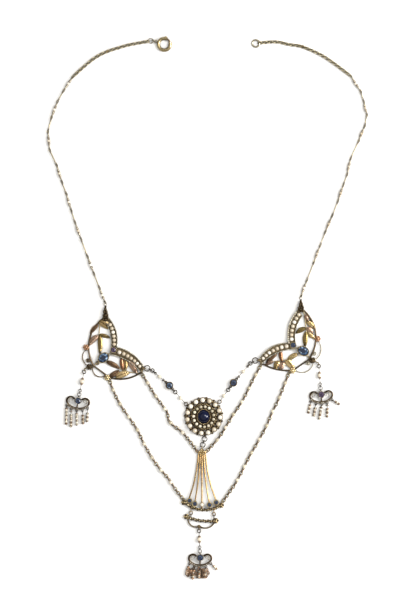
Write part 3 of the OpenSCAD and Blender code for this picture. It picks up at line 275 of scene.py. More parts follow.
# Each metal's plain, warm, hollow and edge tones in thousandths, its roughness and its stipple; the hollow
# tone is patina and painted shade, the edge tone wear and a painted highlight
METALS = {
    "old_gold": ((200, 145, 70), (280, 170, 80), (14, 9, 5), (700, 540, 300)),
    "bright_gold": ((560, 370, 140), (660, 400, 160), (30, 17, 7), (950, 800, 450), 0.28),
    "chain_gold": ((330, 275, 150), (400, 310, 170), (10, 8, 5), (660, 570, 370)),
    "dark": ((60, 40, 22), (110, 62, 32), (7, 4, 3), (480, 350, 200), 0.4),
    "brown": ((250, 155, 90), (330, 200, 110), (18, 10, 6), (700, 520, 340), 0.38),
    "grey_gold": ((300, 265, 190), (360, 280, 180), (10, 8, 6), (800, 740, 600)),
    "umber": ((100, 62, 38), (200, 110, 70), (8, 5, 3), (400, 280, 190)),
    "silver": ((600, 540, 420), (660, 570, 420), (20, 14, 9), (950, 900, 800), 0.26),
    "pale_gold": ((520, 470, 340), (600, 510, 340), (14, 10, 7), (900, 840, 680), 0.3),
    "clasp_gold": ((500, 400, 210), (580, 450, 250), (22, 15, 8), (950, 860, 620), 0.26),
    "channel": ((200, 155, 85), (280, 200, 110), (14, 10, 5), (260, 200, 115), 0.42, 6.0),
    "bronze": ((105, 74, 36), (160, 100, 50), (8, 5, 3), (270, 200, 105), 0.36),
    "wall": ((60, 40, 22), (100, 60, 32), (6, 4, 3), (200, 145, 80), 0.38),
    "black": ((26, 19, 12), (60, 38, 20), (4, 3, 2), (340, 250, 140), 0.4),
    "olive": ((340, 260, 95), (420, 290, 120), (30, 20, 8), (750, 620, 300), 0.36),
    "gold": ((540, 390, 165), (620, 420, 200), (50, 30, 12), (950, 820, 540), 0.3, 4.5),
    "bright": ((840, 660, 310), (880, 600, 300), (60, 38, 15), (1000, 900, 620), 0.26),
    "rose": ((620, 420, 290), (700, 470, 340), (50, 28, 18), (950, 760, 600), 0.32, 5.5),
    "red": ((440, 230, 120), (540, 280, 150), (30, 14, 8), (850, 520, 320)),
    "bar_gold": ((220, 180, 95), (300, 230, 120), (14, 10, 6), (740, 650, 440)),
}
# The tones that each kind of cut stone's facets take: the dark ones its own colour, the pale ones painted
# reflections
STONES = {
    "sapphire": [
        (0.42, (0.004, 0.007, 0.018)), (0.49, (0.016, 0.036, 0.082)), (0.56, (0.062, 0.12, 0.21)),
        (0.64, (0.42, 0.53, 0.64))],
    "dark_sapphire": [(0.4, (0.004, 0.006, 0.016)), (0.5, (0.014, 0.024, 0.06)), (0.6, (0.1, 0.14, 0.22))],
    "violet": [(0.4, (0.01, 0.005, 0.018)), (0.5, (0.04, 0.022, 0.058)), (0.6, (0.22, 0.16, 0.24))],
}
MATERIALS = {name: metal(name, *row) for name, row in METALS.items()}
MATERIALS.update((name, cut_stone_material(name, stops)) for name, stops in STONES.items())
MATERIALS["pearl"] = pearl_material("pearl", (0.86, 0.81, 0.69), (0.5, 0.41, 0.28))
MATERIALS["dim_pearl"] = pearl_material("dim_pearl", (0.7, 0.66, 0.5), (0.36, 0.31, 0.19))
MATERIALS["cabochon"] = cabochon_material()


# Shapes

def unit_ball(level):
    mesh = bmesh.new()
    bmesh.ops.create_icosphere(mesh, subdivisions=level, radius=1)
    verts = [tuple(v.co) for v in mesh.verts]
    faces = [tuple(v.index for v in f.verts) for f in mesh.faces]
    mesh.free()
    return verts, faces


SMALL_BALL = unit_ball(2)
BIG_BALL = unit_ball(3)
# Balls with a larger radius than this get the finer mesh.
BIG_FROM = 0.36


def round_section(r, sides=8, tall=1.0):
    turns = [tau * (k + 0.5) / sides for k in range(sides)]
    return [(r * cos(t), r * tall * sin(t)) for t in turns]


def bar_section(width, height, edge=0.12):
    half = width / 2
    return [(-half, 0), (half, 0), (half, height - edge), (half - edge, height),
            (edge - half, height), (-half, height - edge)]


class Shape:
    """Points and faces of one piece."""

    def __init__(self):
        self.verts = []
        self.faces = []

    def add(self, verts, faces):
        start = len(self.verts)
        self.verts.extend(verts)
        self.faces.extend(tuple(start + i for i in face) for face in faces)

    def ball(self, x, y, z, r):
        verts, faces = BIG_BALL if r > BIG_FROM else SMALL_BALL
        self.add([(x + r * a, y + r * b, z + r * c) for a, b, c in verts], faces)

    def rows(self, rows, closed_rows=False):
        """A skin over rows of points, each row a closed outline; open rows get a cap at each end."""
        size = len(rows[0])
        count = len(rows)
        faces = []
        for i in range(count if closed_rows else count - 1):
            a, b = i * size, (i + 1) % count * size
            faces += [(a + k, a + (k + 1) % size, b + (k + 1) % size, b + k) for k in range(size)]
        if not closed_rows:
            faces.append(tuple(reversed(range(size))))
            faces.append(tuple(range((count - 1) * size, count * size)))
        self.add([p for row in rows for p in row], faces)

    def slab(self, outline, bottom, top):
        self.rows([[(x, y, z) for x, y in outline] for z in (bottom, top)])

    def sweep(self, path, section, z=0.0, closed=False, sizes=None):
        """A bar along flat points; a section's row is its place across and its height."""
        last = len(path) - 1
        rows = []
        for i, p in enumerate(path):
            a = path[i - 1] if i or closed else p
            b = path[(i + 1) % len(path)] if i < last or closed else p
            dx, dy = b[0] - a[0], b[1] - a[1]
            length = hypot(dx, dy)
            size = sizes[i] if sizes else 1
            rows.append([(p[0] - dy / length * u * size, p[1] + dx / length * u * size, z + v * size)
                         for u, v in section])
        self.rows(rows, closed)

    def loop(self, x, y, z, long, wide, wire, roll, yaw, steps=18, sides=8):
        """A ring or an oval link of round wire, rolled about its long axis and turned by yaw."""
        turn = Matrix.Rotation(yaw, 3, "Z") @ Matrix.Rotation(roll, 3, "X")
        at = Vector((x, y, z))
        rows = []
        for i in range(steps):
            t = tau * i / steps
            middle = Vector((long * cos(t), wide * sin(t), 0))
            out = Vector((wide * cos(t), long * sin(t), 0)).normalized()
            rows.append([tuple(at + turn @ (middle + out * u + Vector((0, 0, v))))
                         for u, v in round_section(wire, sides)])
        self.rows(rows, True)

    def ring(self, place, z, r, wire, roll=0, yaw=0):
        self.loop(*place, z, r, r, wire, radians(roll), radians(yaw), 26)

    def hoop(self, place, z, r, wire, heading, steps=14):
        """A fine ring round a line with this heading."""
        self.loop(*place, z, r, r, wire, pi / 2, heading + pi / 2, steps, 6)

    def beads(self, path, r, z, pitch):
        """A row of grains along a line of points."""
        line = Line(path)
        count = max(int(line.length / pitch), 1)
        for i in range(count + 1):
            (x, y), _ = line.at(line.length * i / count)
            self.ball(x, y, z, r)

    def build(self, name, material, slot, replaces=(), body="necklace", flat=False, sharp=35):
        mesh = bpy.data.meshes.new(name)
        mesh.from_pydata([(x * MM, y * MM, z * MM) for x, y, z in self.verts], [], self.faces)
        work = bmesh.new()
        work.from_mesh(mesh)
        bmesh.ops.recalc_face_normals(work, faces=work.faces)
        work.to_mesh(mesh)
        work.free()
        mesh.polygons.foreach_set("use_smooth", [not flat] * len(mesh.polygons))
        if not flat:
            mesh.set_sharp_from_angle(angle=radians(sharp))
        mesh.materials.append(MATERIALS[material])
        obj = add_object(name, mesh)
        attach(obj, body)
        if replaces:
            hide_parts(*replaces)


# Lines and arcs

def around(at, r, turn):
    """The point at distance r from a place, in the direction that turn gives in degrees."""
    t = radians(turn)
    return at[0] + r * cos(t), at[1] + r * sin(t)


def placed(u, v, at, turn):
    """A point of a part's own plan, turned by so many degrees and moved to its place."""
    c, s = cos(radians(turn)), sin(radians(turn))
    return at[0] + u * c - v * s, at[1] + u * s + v * c


def oval_points(place, r, long=1.0, turn=0.0, steps=40):
    turns = [tau * i / steps for i in range(steps)]
    return [placed(r * long * cos(t), r * sin(t), place, turn) for t in turns]


def circle_of(p):
    ax, ay = p[1][0] - p[0][0], p[1][1] - p[0][1]
    bx, by = p[2][0] - p[0][0], p[2][1] - p[0][1]
    d = 2 * (ax * by - ay * bx)
    a2, b2 = ax * ax + ay * ay, bx * bx + by * by
    x, y = (by * a2 - ay * b2) / d, (ax * b2 - bx * a2) / d
    return (p[0][0] + x, p[0][1] + y), hypot(x, y)


def on_arc(p, t):
    """The point at fraction t along the arc through three points."""
    (cx, cy), r = circle_of(p)
    start, middle, end = (atan2(q[1] - cy, q[0] - cx) for q in p)
    whole = (end - start) % tau
    part = (middle - start) % tau
    turn = whole if part <= whole else whole - tau
    return (cx + r * cos(start + turn * t), cy + r * sin(start + turn * t))


def arc(p, steps=28):
    return [on_arc(p, i / steps) for i in range(steps + 1)]


def between(a, b, t):
    return (a[0] + (b[0] - a[0]) * t, a[1] + (b[1] - a[1]) * t)


def smooth(route, steps=12):
    """A smooth curve through the points of a route."""
    last = len(route) - 1
    points = []
    for i in range(last):
        a, b, c, d = (route[min(max(i + k, 0), last)] for k in (-1, 0, 1, 2))
        for j in range(steps + (i == last - 1)):
            t = j / steps
            points.append(tuple(
                0.5 * (2 * b[k] + (c[k] - a[k]) * t + (2 * a[k] - 5 * b[k] + 4 * c[k] - d[k]) * t * t
                       + (3 * b[k] - a[k] - 3 * c[k] + d[k]) * t ** 3) for k in (0, 1)))
    return points


class Line:
    """Points that can be walked by length."""

    def __init__(self, points):
        self.points = points
        self.sums = [0.0]
        for a, b in zip(points, points[1:]):
            self.sums.append(self.sums[-1] + dist(a, b))
        self.length = self.sums[-1]

    def at(self, s):
        """The point at length s and the heading there."""
        i = 0
        while i < len(self.points) - 2 and self.sums[i + 1] < s:
            i += 1
        a, b = self.points[i], self.points[i + 1]
        t = (s - self.sums[i]) / (self.sums[i + 1] - self.sums[i])
        return between(a, b, t), atan2(b[1] - a[1], b[0] - a[0])


# Fine chains

# A link's half length and half width to the middle of its wire, and the wire's radius
LINK_LONG = 0.86
LINK_WIDE = 0.72
LINK_WIRE = 0.24
LINK_REACH = LINK_LONG - LINK_WIRE
# A pin that carries a tiny pearl: its eyes, and how far they lie from its middle
EYE_R = 0.48
EYE_WIRE = 0.17
EYE_OUT = 1.35
PIN_REACH = EYE_OUT + EYE_R - EYE_WIRE
PIN_WIRE = 0.16
TINY_PEARL_R = 0.92
# A cup on each side of the tiny pearl
CUP_OUT = TINY_PEARL_R * 0.9
CUP_R = 0.42
CUP_WIRE = 0.17
# The height of each kind's middle line, and over what length a chain climbs to the ring at its end
CHAIN_Z = 0.95
TRACE_Z = 0.62
CLIMB = 3
# By turns a swag's links lie and stand, and a trace chain's lean both ways.
SWAG_ROLLS = (radians(12), radians(76))
TRACE_ROLLS = (radians(45), -radians(45))


def pearl_pin(at, z, roll, yaw, links, cups, beads):
    """A pin with an eye at each end, through a tiny pearl between two cups."""

    def along(s):
        return at[0] + s * cos(yaw), at[1] + s * sin(yaw)

    for side in (-1, 1):
        links.loop(*along(side * EYE_OUT), z, EYE_R, EYE_R, EYE_WIRE, roll, yaw, 16)
        cups.hoop(along(side * CUP_OUT), z, CUP_R, CUP_WIRE, yaw)
    inner = EYE_OUT - EYE_R
    links.sweep([along(s) for s in (-inner, 0, inner)], round_section(PIN_WIRE), z)
    beads.ball(*at, z, TINY_PEARL_R)


def fine_chain(name, node, pearls, start, end, route):
    """Links from one ring to another; start and end are a ring's place, height and inner reach."""
    path = Line(smooth([start[0], *route, end[0]]))
    middle_z = CHAIN_Z if pearls else TRACE_Z
    kinds = ["link", "link"]
    total = start[2] + end[2] + 4 * LINK_REACH
    while total < path.length:
        room = path.length - total >= 2 * PIN_REACH + 6 * LINK_REACH
        unit = ["pin", "link", "link", "link"] if pearls and room else ["link"]
        kinds += unit
        total += sum(2 * (PIN_REACH if kind == "pin" else LINK_REACH) for kind in unit)
    squeeze = path.length / total
    links, dark_links, beads = Shape(), Shape(), Shape()
    s = start[2]
    for i, kind in enumerate(kinds):
        reach = PIN_REACH if kind == "pin" else LINK_REACH
        s += reach
        at, yaw = path.at(s * squeeze)
        first, last = (min(max(1 - gap / CLIMB, 0), 1) for gap in (s, total - s))
        z = middle_z + first * (start[1] - middle_z) + last * (end[1] - middle_z)
        roll = (SWAG_ROLLS if pearls else TRACE_ROLLS)[i % 2]
        # No link reaches below the floor.
        z = max(z, LINK_WIDE * abs(sin(roll)) + LINK_WIRE)
        if kind == "pin":
            pearl_pin(at, z, roll, yaw, links, dark_links, beads)
        else:
            shape = dark_links if pearls and i % 2 else links
            shape.loop(*at, z, LINK_LONG, LINK_WIDE, LINK_WIRE, roll, yaw)
        s += reach
    links.build(name, "chain_gold", "chain_gold", (node,), sharp=60)
    if pearls:
        dark_links.build(name + "_dark", "umber", "chain_gold", sharp=60)
        beads.build(name + "_pearls", "dim_pearl", "pearl")


# The middles of the neck chains' links
LEFT_LINKS = [
    (-60.3, 103.7), (-64.3, 97.7), (-67.1, 92.7), (-69.9, 85.4), (-71.5, 79), (-70.7, 70.9),
    (-67.6, 64.1), (-65.2, 56.5), (-63.2, 51.1), (-61, 43.7), (-59.3, 38.3), (-56.6, 30.8),
    (-53.7, 23), (-50.8, 15.3), (-48.3, 8.8), (-45.81, 2.33)]
RIGHT_LINKS = [
    (64.7, 104.2), (69.2, 97.2), (70.5, 92.8), (72, 86.6), (71, 81.5), (68.3, 74.9), (64.7, 67),
    (63.1, 59.9), (61.4, 55.1), (59, 47.9), (56.4, 41.2), (53.3, 34), (51, 27.9), (48.2, 20.5),
    (45, 12.2), (42.41, 5.24)]
NECK_PEARL_R = 0.75
BAR_R = 0.28
# From a link's middle to where the thick bar starts
BAR_FROM = 1.19
WRAP_STEP = 0.24
WRAP_WIRE = 0.12
COLLAR_FROM = BAR_FROM + 0.1
COLLAR_TURNS = 3
# The cone beside a pearl: its widest radius, its taper with each turn and its gap to the pearl
CONE_R = 0.58
CONE_TAPER = 0.055
CONE_GAP = 0.16


def neck_wraps(name, links):
    """Wire wound round each pin, in a cone that widens to its pearl, or in a collar on a plain bar."""
    pale, dark = Shape(), Shape()
    for i, (a, b) in enumerate(zip(links, links[1:])):
        length = dist(a, b)
        heading = atan2(b[1] - a[1], b[0] - a[0])
        if i % 2:
            places = [(COLLAR_FROM + WRAP_STEP * k, BAR_R) for k in range(COLLAR_TURNS)]
        else:
            inner = length / 2 - NECK_PEARL_R - CONE_GAP
            count = int((inner - BAR_FROM) / WRAP_STEP)
            places = [(inner - WRAP_STEP * k, max(CONE_R - CONE_TAPER * k, BAR_R)) for k in range(count)]
        for k, (s, r) in enumerate(places):
            shape = pale if k % 3 else dark
            for along in (s, length - s):
                shape.hoop(between(a, b, along / length), NECK_PEARL_R, r, WRAP_WIRE, heading)
    pale.build(name, "pale_gold", "chain_gold", sharp=60)
    dark.build(name + "_dark", "umber", "chain_gold", sharp=60)


# Height and inner reach of the rings that the fine chains hang on
CLASP_LINK = (1.0, 0.9)
END_RING = (0.6, 1.25)
NECK_LINK = (0.75, 0.47)
SWAG_EYE = (0.65, 0.4)
FOUNTAIN_EYE = (0.8, 0.35)
# Where the outer swags end, and the knots on the trace chains
GALLERY_EYES = {"left": (-10.6, -86.15), "right": (7.15, -87.45)}
TRACE_KNOTS = [(-44.9, 115.1), (42.8, 117.5)]
# Each fine chain's first and last ring, and its route between them
FINE_CHAINS = {
    ("trace", "left"): (
        ((-25.2, 119.94), *CLASP_LINK), (LEFT_LINKS[0], *NECK_LINK),
        [(-34.6, 118.2), (-40, 116.7), (-44.9, 115.1), (-50, 112.5), (-55.3, 108.3)]),
    ("trace", "right"): (
        ((22.1, 118.8), *END_RING), (RIGHT_LINKS[0], *NECK_LINK),
        [(31, 119.5), (37, 118.3), (42.7, 117.4), (50.9, 113.9), (57, 110)]),
    ("inner", "left"): (
        ((-29, -30.1), *SWAG_EYE), ((-4.4, -64.6), *FOUNTAIN_EYE),
        [(-26.5, -34.2), (-23.3, -39.4), (-20.2, -43.7), (-17.8, -47.2), (-17.2, -50.4), (-15.2, -52.9),
         (-11.6, -55.6), (-8.2, -59.4)]),
    ("inner", "right"): (
        ((24.2, -26.2), *SWAG_EYE), ((0, -64.6), *FOUNTAIN_EYE),
        [(21.2, -31.7), (18.1, -38), (15.4, -43), (11.6, -48.6), (9, -52.9), (6.8, -56.5),
         (4.4, -59.8)]),
    ("outer", "left"): (
        ((-43.7, -32.8), *SWAG_EYE), (GALLERY_EYES["left"], *SWAG_EYE),
        [(-42, -37.4), (-38.7, -44), (-34.6, -49.9), (-31.2, -55.1), (-28.4, -60.9), (-24.8, -67.3),
         (-21.3, -72.2), (-17.2, -77), (-14.4, -81.3)]),
    ("outer", "right"): (
        ((36.9, -29.7), *SWAG_EYE), (GALLERY_EYES["right"], *SWAG_EYE),
        [(34.7, -35.2), (32, -41.9), (29.1, -47.9), (26.5, -53.9), (23.1, -60.2), (19, -67.3),
         (16, -73.3), (13.1, -78.8), (10.8, -82.1)]),
}


def make_fine_chains():
    for (kind, side), row in FINE_CHAINS.items():
        pearls = kind != "trace"
        fine_chain(f"{kind}_links_{side}", f"{kind}_{'swag' if pearls else 'chain'}_{side}", pearls, *row)
    neck_wraps("neck_wraps_left", LEFT_LINKS)
    neck_wraps("neck_wraps_right", RIGHT_LINKS)
    # The knots on the trace chains and the rings that end the outer swags
    knots = Shape()
    for x, y in TRACE_KNOTS:
        knots.ring((x, y), 0.95, 0.72, 0.2, 90, 60)
        knots.ball(x + 0.25, y + 0.2, 0.7, 0.42)
        knots.ball(x - 0.4, y - 0.1, 0.6, 0.36)
    for place in GALLERY_EYES.values():
        knots.ring(place, 0.65, 0.55, 0.18)
    knots.build("chain_knots", "old_gold", "old_gold")


# Plaques

# Both plans are drawn for the left side, round the notch. A leaf's row is foot, tip, width, tone and bow.
PLAN_LEFT = dict(
    at=(-40.6, -17.8),
    upper_outer=[(-3.4, 13), (0.1, 5.6), (0, 0)],
    upper_inner=[(-4.9, 11.4), (-2.8, 6.5), (-2.9, -2.4)],
    lower_outer=[(0, 0), (5.9, -2.3), (12, -8.6)],
    lower_inner=[(-2.7, -3.2), (4.6, -5.9), (10.9, -11)],
    rim=[(-5.6, 13.2), (-12.5, 1.5), (-10.3, -8.4)],
    foot=[(-3.4, -13.5), (3.5, -14.3), (11.6, -10.9)],
    cap=[(-5, 19.2), (-4.9, 12.4)],
    tip_eye=(12.6, -9.4),
    notch=(-1.35, -1.2), notch_tone="violet",
    oval=(-5.9, -4.7), oval_turn=35,
    leaves=[
        (-7.6, 5.6, -7.6, -3, 2, "olive", 0.3), (-8, 5.4, -12.6, 0.6, 2.2, "rose", -0.4),
        (-8, 12, -3.2, 8.3, 3.2, "gold", 0.3), (-7.9, 5.6, -2.9, 4.2, 1.4, "olive", 0.2),
        (-8.2, 10.2, -11.9, 5.9, 1.6, "brown", -0.3), (-4.6, -6.4, 1.4, -9.6, 2, "brown", 0.2),
        (2.2, -4.5, 2.9, -10.6, 1.6, "red", -0.2), (3.9, -5.2, 3.9, -10.8, 1.8, "gold", 0.2),
        (5.4, -6.2, 9.1, -11.9, 2.6, "rose", 0.3), (-0.4, -13.6, 6, -11.3, 2.8, "bright", 0.3),
        (-3.2, -13.2, 1.2, -10.4, 2, "brown", -0.2)],
    stems=[(-7.2, 12.2, -8, 5.2), (1.2, -9.5, 6.2, -11.4), (5.6, -11.2, 9.8, -11.6),
           (-7.6, -6.6, -10.2, -8.2), (-4.2, -3.4, -2.6, -2.6)],
    clusters=[(-13.7, -0.1, "red"), (-12.2, -8.9, "black"), (-4.2, -13.7, "bright")],
    curls=[[(-13.8, -1.2), (-15.3, -5), (-12.9, -8.4)],
           [(-10.8, -9.2), (-10.2, -11.8), (-5.2, -12.8)]],
    curl_rings=[(-12.8, -6), (-8.7, -7.2)],
    drop_eye=(-14.4, -10.3),
    swag_eyes=[(-3.1, -15), (11.6, -12.3)],
    outer_grain=0, curl_tone="dark"
)
PLAN_RIGHT = dict(
    at=(36.9, -15.9),
    upper_outer=[(-4.4, 15), (0.1, 6.6), (0, 0)],
    upper_inner=[(-6, 12.2), (-3.2, 6.5), (-3.2, -1.4)],
    lower_outer=[(0, 0), (6.7, -1.3), (13.2, -7.1)],
    lower_inner=[(-3, -2.8), (4.8, -4.2), (12, -9.2)],
    rim=[(-6.3, 15), (-12.2, 2.3), (-8.9, -7.5)],
    foot=[(-2, -12.3), (4.8, -12), (12.4, -9)],
    cap=[(-5.4, 20.2), (-5.3, 14.2)],
    tip_eye=(13.9, -7.8),
    notch=(-1.9, -1), notch_tone="dark_sapphire",
    oval=(-6.4, -3.6), oval_turn=25,
    leaves=[
        (-7.2, 12.8, -8.9, 9.6, 1.6, "rose", 0.1), (-7.8, 9.9, -11.9, 6.4, 2.2, "bright", -0.3),
        (-7.6, 6.8, -3.2, 4.4, 1.9, "olive", 0.2), (-7.8, 6.9, -10.9, 4, 2.2, "rose", -0.3),
        (-8.4, 5.2, -12.1, 1.7, 1.8, "bright", 0.2), (-7.8, 5.2, -7.4, -1.6, 2.1, "olive", 0.2),
        (-4.1, -4.8, 0.8, -7.8, 2, "bright", 0.2), (1.6, -7.6, -2.3, -11.7, 3, "bright", -0.3),
        (3.8, -3.4, 3, -8.6, 1.6, "red", 0.2), (5.3, -4.6, 10.1, -9.1, 1.9, "brown", 0.3),
        (2.4, -8.4, 3.8, -12.2, 2.6, "rose", 0.2), (4.6, -8, 6.3, -12, 2.2, "gold", 0.2),
        (6.9, -8.2, 10.6, -9.9, 1.4, "rose", 0.1)],
    stems=[(-6.8, 14, -8, 4.8), (0.6, -7.6, 7.2, -8.4), (-8.4, -5.6, -9.4, -7),
           (-4.6, -2.4, -2.8, -2.2)],
    clusters=[(-12.9, 1.8, "red"), (-10.6, -7.8, "black"), (-1.7, -12.4, "bright")],
    curls=[[(-13.2, 0.8), (-14.5, -3), (-11.9, -7.6)],
           [(-10.9, -8.8), (-8.6, -12.6), (-3, -12.2)]],
    curl_rings=[(-11.4, -4.8), (-8.6, -9.2)],
    drop_eye=(-13.4, -9.6),
    swag_eyes=[(0, -13.8), (12.7, -10.3)],
    outer_grain=0.44, curl_tone="pale_gold"
)
PLANS = {"left": PLAN_LEFT, "right": PLAN_RIGHT}
FLIP = {"left": 1, "right": -1}
PLAQUE_SEEDS = {"left": 7, "right": 11}
SLOT_OF = {"bright": "bright_gold", "gold": "bright_gold", "dim_pearl": "pearl"}
UNDERSIDE = 0.02
# The gap round a stone and the wall of its cup
SEAT_GAP = 0.1
CUP_WALL = 0.32
# The eyes for the drops, the tips and the swags
DROP_Z = 1.1
HOOK_R = 0.55
HOOK_WIRE = 0.2
EYE_Z = 0.65
# The bands for the pearls: bed, walls, and the radius, height and pitch of the grains on the walls
BED_TOP = 0.5
WALL_SECTION = bar_section(0.42, 1.25)
WALL_GRAINS = (0.22, 1.27, 0.46)
BEAD_Z = 1.16
BEAD_GAP = 0.08
# Section and height of the rims and the stems
RIM = (round_section(0.4, 10, 1.3), 0.55)
STEM = (round_section(0.26), 0.62)
STEM_SIZES = [1.25, 1.1, 1, 1, 0.95, 0.9, 0.8]
CURL_WIRE = 0.24
CURL_SIZES = [1.25 - 0.4 * abs(i / 12 - 1) for i in range(25)]
CURL_Z = 0.6
CURL_END = 0.42
# Rows of points along a leaf, and from its midrib to its edge
LEAF_STEPS = 22
LEAF_HALF = 6
LEAF_BASE = 0.3
LEAF_WALL = 0.2
LEAF_RISE = 0.75
LEAF_TIP = 0.07
# How far a leaf's underside spreads past its top; the sloping rim this gives takes the metal's painted
# flank shade, a dark outline round the leaf
LEAF_FLARE = 0.14
RIB = {0: 0.2, 1: -0.05}
VEIN = 0.07


def leaf(shape, row):
    """A domed leaf with a midrib and side veins, bowed a little to one side."""
    foot, tip, width, bow = row[0:2], row[2:4], row[4], row[6]
    length = dist(foot, tip)
    ux, uy = (tip[0] - foot[0]) / length, (tip[1] - foot[1]) / length
    top, bottom = [], []
    for i in range(LEAF_STEPS + 1):
        t = i / LEAF_STEPS
        swell = sin(pi * t ** 0.85) ** 0.65 if 0 < t < 1 else 0
        spread = (width / 2 * swell + LEAF_TIP) * (1 + 0.05 * cos(t * 44))
        middle = between(foot, tip, t)
        side = bow * sin(pi * t)
        # One long swell, and a short one at the tip
        high = 0.5 + (0.5 * sin(pi * (t * 1.25)) ** 0.6 if t < 0.8 else 0.5 * (1 - t) / 0.2 * 0.98)
        for j in range(-LEAF_HALF, LEAF_HALF + 1):
            v = j / LEAF_HALF
            dome = LEAF_RISE * (1 - 0.55 * v * v) * high
            vein = VEIN * cos(t * length * 7 - abs(v) * 5) * min(1, 3 * (1 - abs(v)))
            z = LEAF_BASE + LEAF_WALL + dome + vein + RIB.get(abs(j), 0)
            across = side + spread * v
            top.append((middle[0] - uy * across, middle[1] + ux * across, z))
            across += v * LEAF_FLARE
            bottom.append((middle[0] - uy * across, middle[1] + ux * across, LEAF_BASE))
    wide = 2 * LEAF_HALF + 1
    faces = []
    for a in (i * wide + j for i in range(LEAF_STEPS) for j in range(wide - 1)):
        b = a + len(top)
        faces += [(a, a + 1, a + 1 + wide, a + wide), (b, b + wide, b + 1 + wide, b + 1)]
    rim = list(range(wide)) + [i * wide + wide - 1 for i in range(1, LEAF_STEPS + 1)]
    rim += [LEAF_STEPS * wide + j for j in range(wide - 2, -1, -1)]
    rim += [i * wide for i in range(LEAF_STEPS - 1, 0, -1)]
    for k, a in enumerate(rim):
        b = rim[(k + 1) % len(rim)]
        faces.append((a, b, b + len(top), a + len(top)))
    shape.add(top + bottom, faces)


def grain_ring(shape, place, r, z, grain, pitch=0.36, long=1.0, turn=0.0, steps=40):
    ring = oval_points(place, r, long, turn, steps)
    shape.beads(ring + ring[:1], grain, z, pitch)


def setting(cup, grains, place, r_stone, height, long=1.0, turn=0.0):
    """A cup with a flared wall and a row of grains on its edge."""
    half = CUP_WALL / 2
    wall = r_stone + SEAT_GAP + half
    section = [(-half, 0.3), (half, 0.0), (half - 0.04, height - 0.12), (half - 0.12, height),
               (-half + 0.06, height), (-half, height - 0.1)]
    outline = oval_points(place, wall, long, turn)
    cup.sweep(outline[::-1], section, 0, True)
    cup.slab(outline, UNDERSIDE, 0.34)
    grain_ring(grains, place, wall + 0.02, height - 0.02, 0.15, long=long, turn=turn, steps=60)


def grain_cluster(shape, x, y, z, r, rng):
    """Grains fused in a knot, not quite alike."""
    shape.ball(x, y, z + 0.55 * r, 1.1 * r)
    for i in range(6):
        place = around((x, y), 1.45 * r, 60 * i + rng.uniform(-6, 6))
        shape.ball(*place, z - 0.03, r * rng.uniform(0.9, 1.05))
    for i in range(6):
        shape.ball(*around((x, y), 0.95 * r, 60 * i + 30), z + 0.75 * r, 0.34 * r)


CAP_ROWS = 7
CAP_FOOT = 1.35
CAP_TIP = 0.35


def cap_of(shape, plan, rng):
    """The dark cap, a tapering dome covered with grains."""
    top, foot = plan["cap"]
    shape.slab([(foot[0] - 1.4, foot[1] - 0.4), (foot[0] + 1.4, foot[1] - 0.4),
                (top[0] + 0.4, top[1] - 1.2), (top[0] - 0.4, top[1] - 1.2)], 0.0, 0.8)
    for i in range(CAP_ROWS):
        t = i / (CAP_ROWS - 1)
        x, y = between((foot[0], foot[1] + 0.1), (top[0], top[1] - 1.1), t)
        half = CAP_FOOT * (1 - t) ** 0.6 + CAP_TIP
        count = max(round(half / 0.55), 1)
        for k in range(count):
            v = (k + 0.5) / count * 2 - 1
            shape.ball(x + v * (half - 0.1) + rng.uniform(-0.12, 0.12), y + rng.uniform(-0.15, 0.15),
                       0.75 + 0.75 * sqrt(1 - 0.85 * v * v) + rng.uniform(-0.1, 0.15),
                       rng.uniform(0.48, 0.64))


def on_plaque(side, x, y):
    dx, dy = PLANS[side]["at"]
    return FLIP[side] * x + dx, y + dy


def plaque_bands(parts, plan):
    """The two channels that the pearls lie in, with grains or light beads on their walls."""
    for name in ("upper", "lower"):
        outer, inner = arc(plan[name + "_outer"]), arc(plan[name + "_inner"])
        parts["bed"].rows([
            [(*a, UNDERSIDE), (*a, BED_TOP), (*b, BED_TOP), (*b, UNDERSIDE)] for a, b in zip(outer, inner)])
        for path in (outer, inner):
            parts["rims"].sweep(path, WALL_SECTION)
        parts["grains"].beads(inner, *WALL_GRAINS)
        bead = plan["outer_grain"] if name == "upper" else 0
        if bead:
            parts["seeds"].beads(outer, bead, BEAD_Z, 2 * bead + BEAD_GAP)
        else:
            parts["grains"].beads(outer, *WALL_GRAINS)


def plaque_frame(rims, bed, plan, flip):
    """The outer rim, the foot, the plate at the tip and all the eyes."""
    rim = arc(plan["rim"], 40)
    corner, _, foot = plan["foot"]
    rim += [between(rim[-1], corner, 0.33), between(rim[-1], corner, 0.67), corner]
    rims.sweep(rim, *RIM)
    rims.sweep(arc(plan["foot"], 30), *RIM)
    tip, end = plan["tip_eye"], plan["lower_outer"][2]
    bed.slab([(end[0] - 0.4, end[1] + 0.2), (tip[0] - 0.5, tip[1] + 0.4), (tip[0] - 0.5, tip[1] - 0.5),
              (foot[0] + 0.2, foot[1] - 0.3), plan["lower_inner"][2]], UNDERSIDE, 1.15)
    bed.ball(tip[0] - 0.75, tip[1] - 0.1, 0.9, 0.75)
    bed.ring(tip, 1.0, HOOK_R, HOOK_WIRE, 90, -20)
    bed.ring(plan["cap"][0], 0.75, 0.75, 0.15, -45 * flip, 90)
    x, y = plan["drop_eye"]
    bed.ring((x, y), DROP_Z, HOOK_R, HOOK_WIRE, 90, 90)
    start, knot = (x, y + HOOK_R), plan["clusters"][1][:2]
    bed.sweep([start, between(start, knot, 0.5), knot], round_section(0.3), DROP_Z - 0.1)
    for x, y in plan["swag_eyes"]:
        bed.ring((x, y), EYE_Z, 0.6, 0.2)
        bed.sweep([(x, y + 0.6), (x, y + 1.1), (x, y + 1.7)], round_section(0.28), EYE_Z)


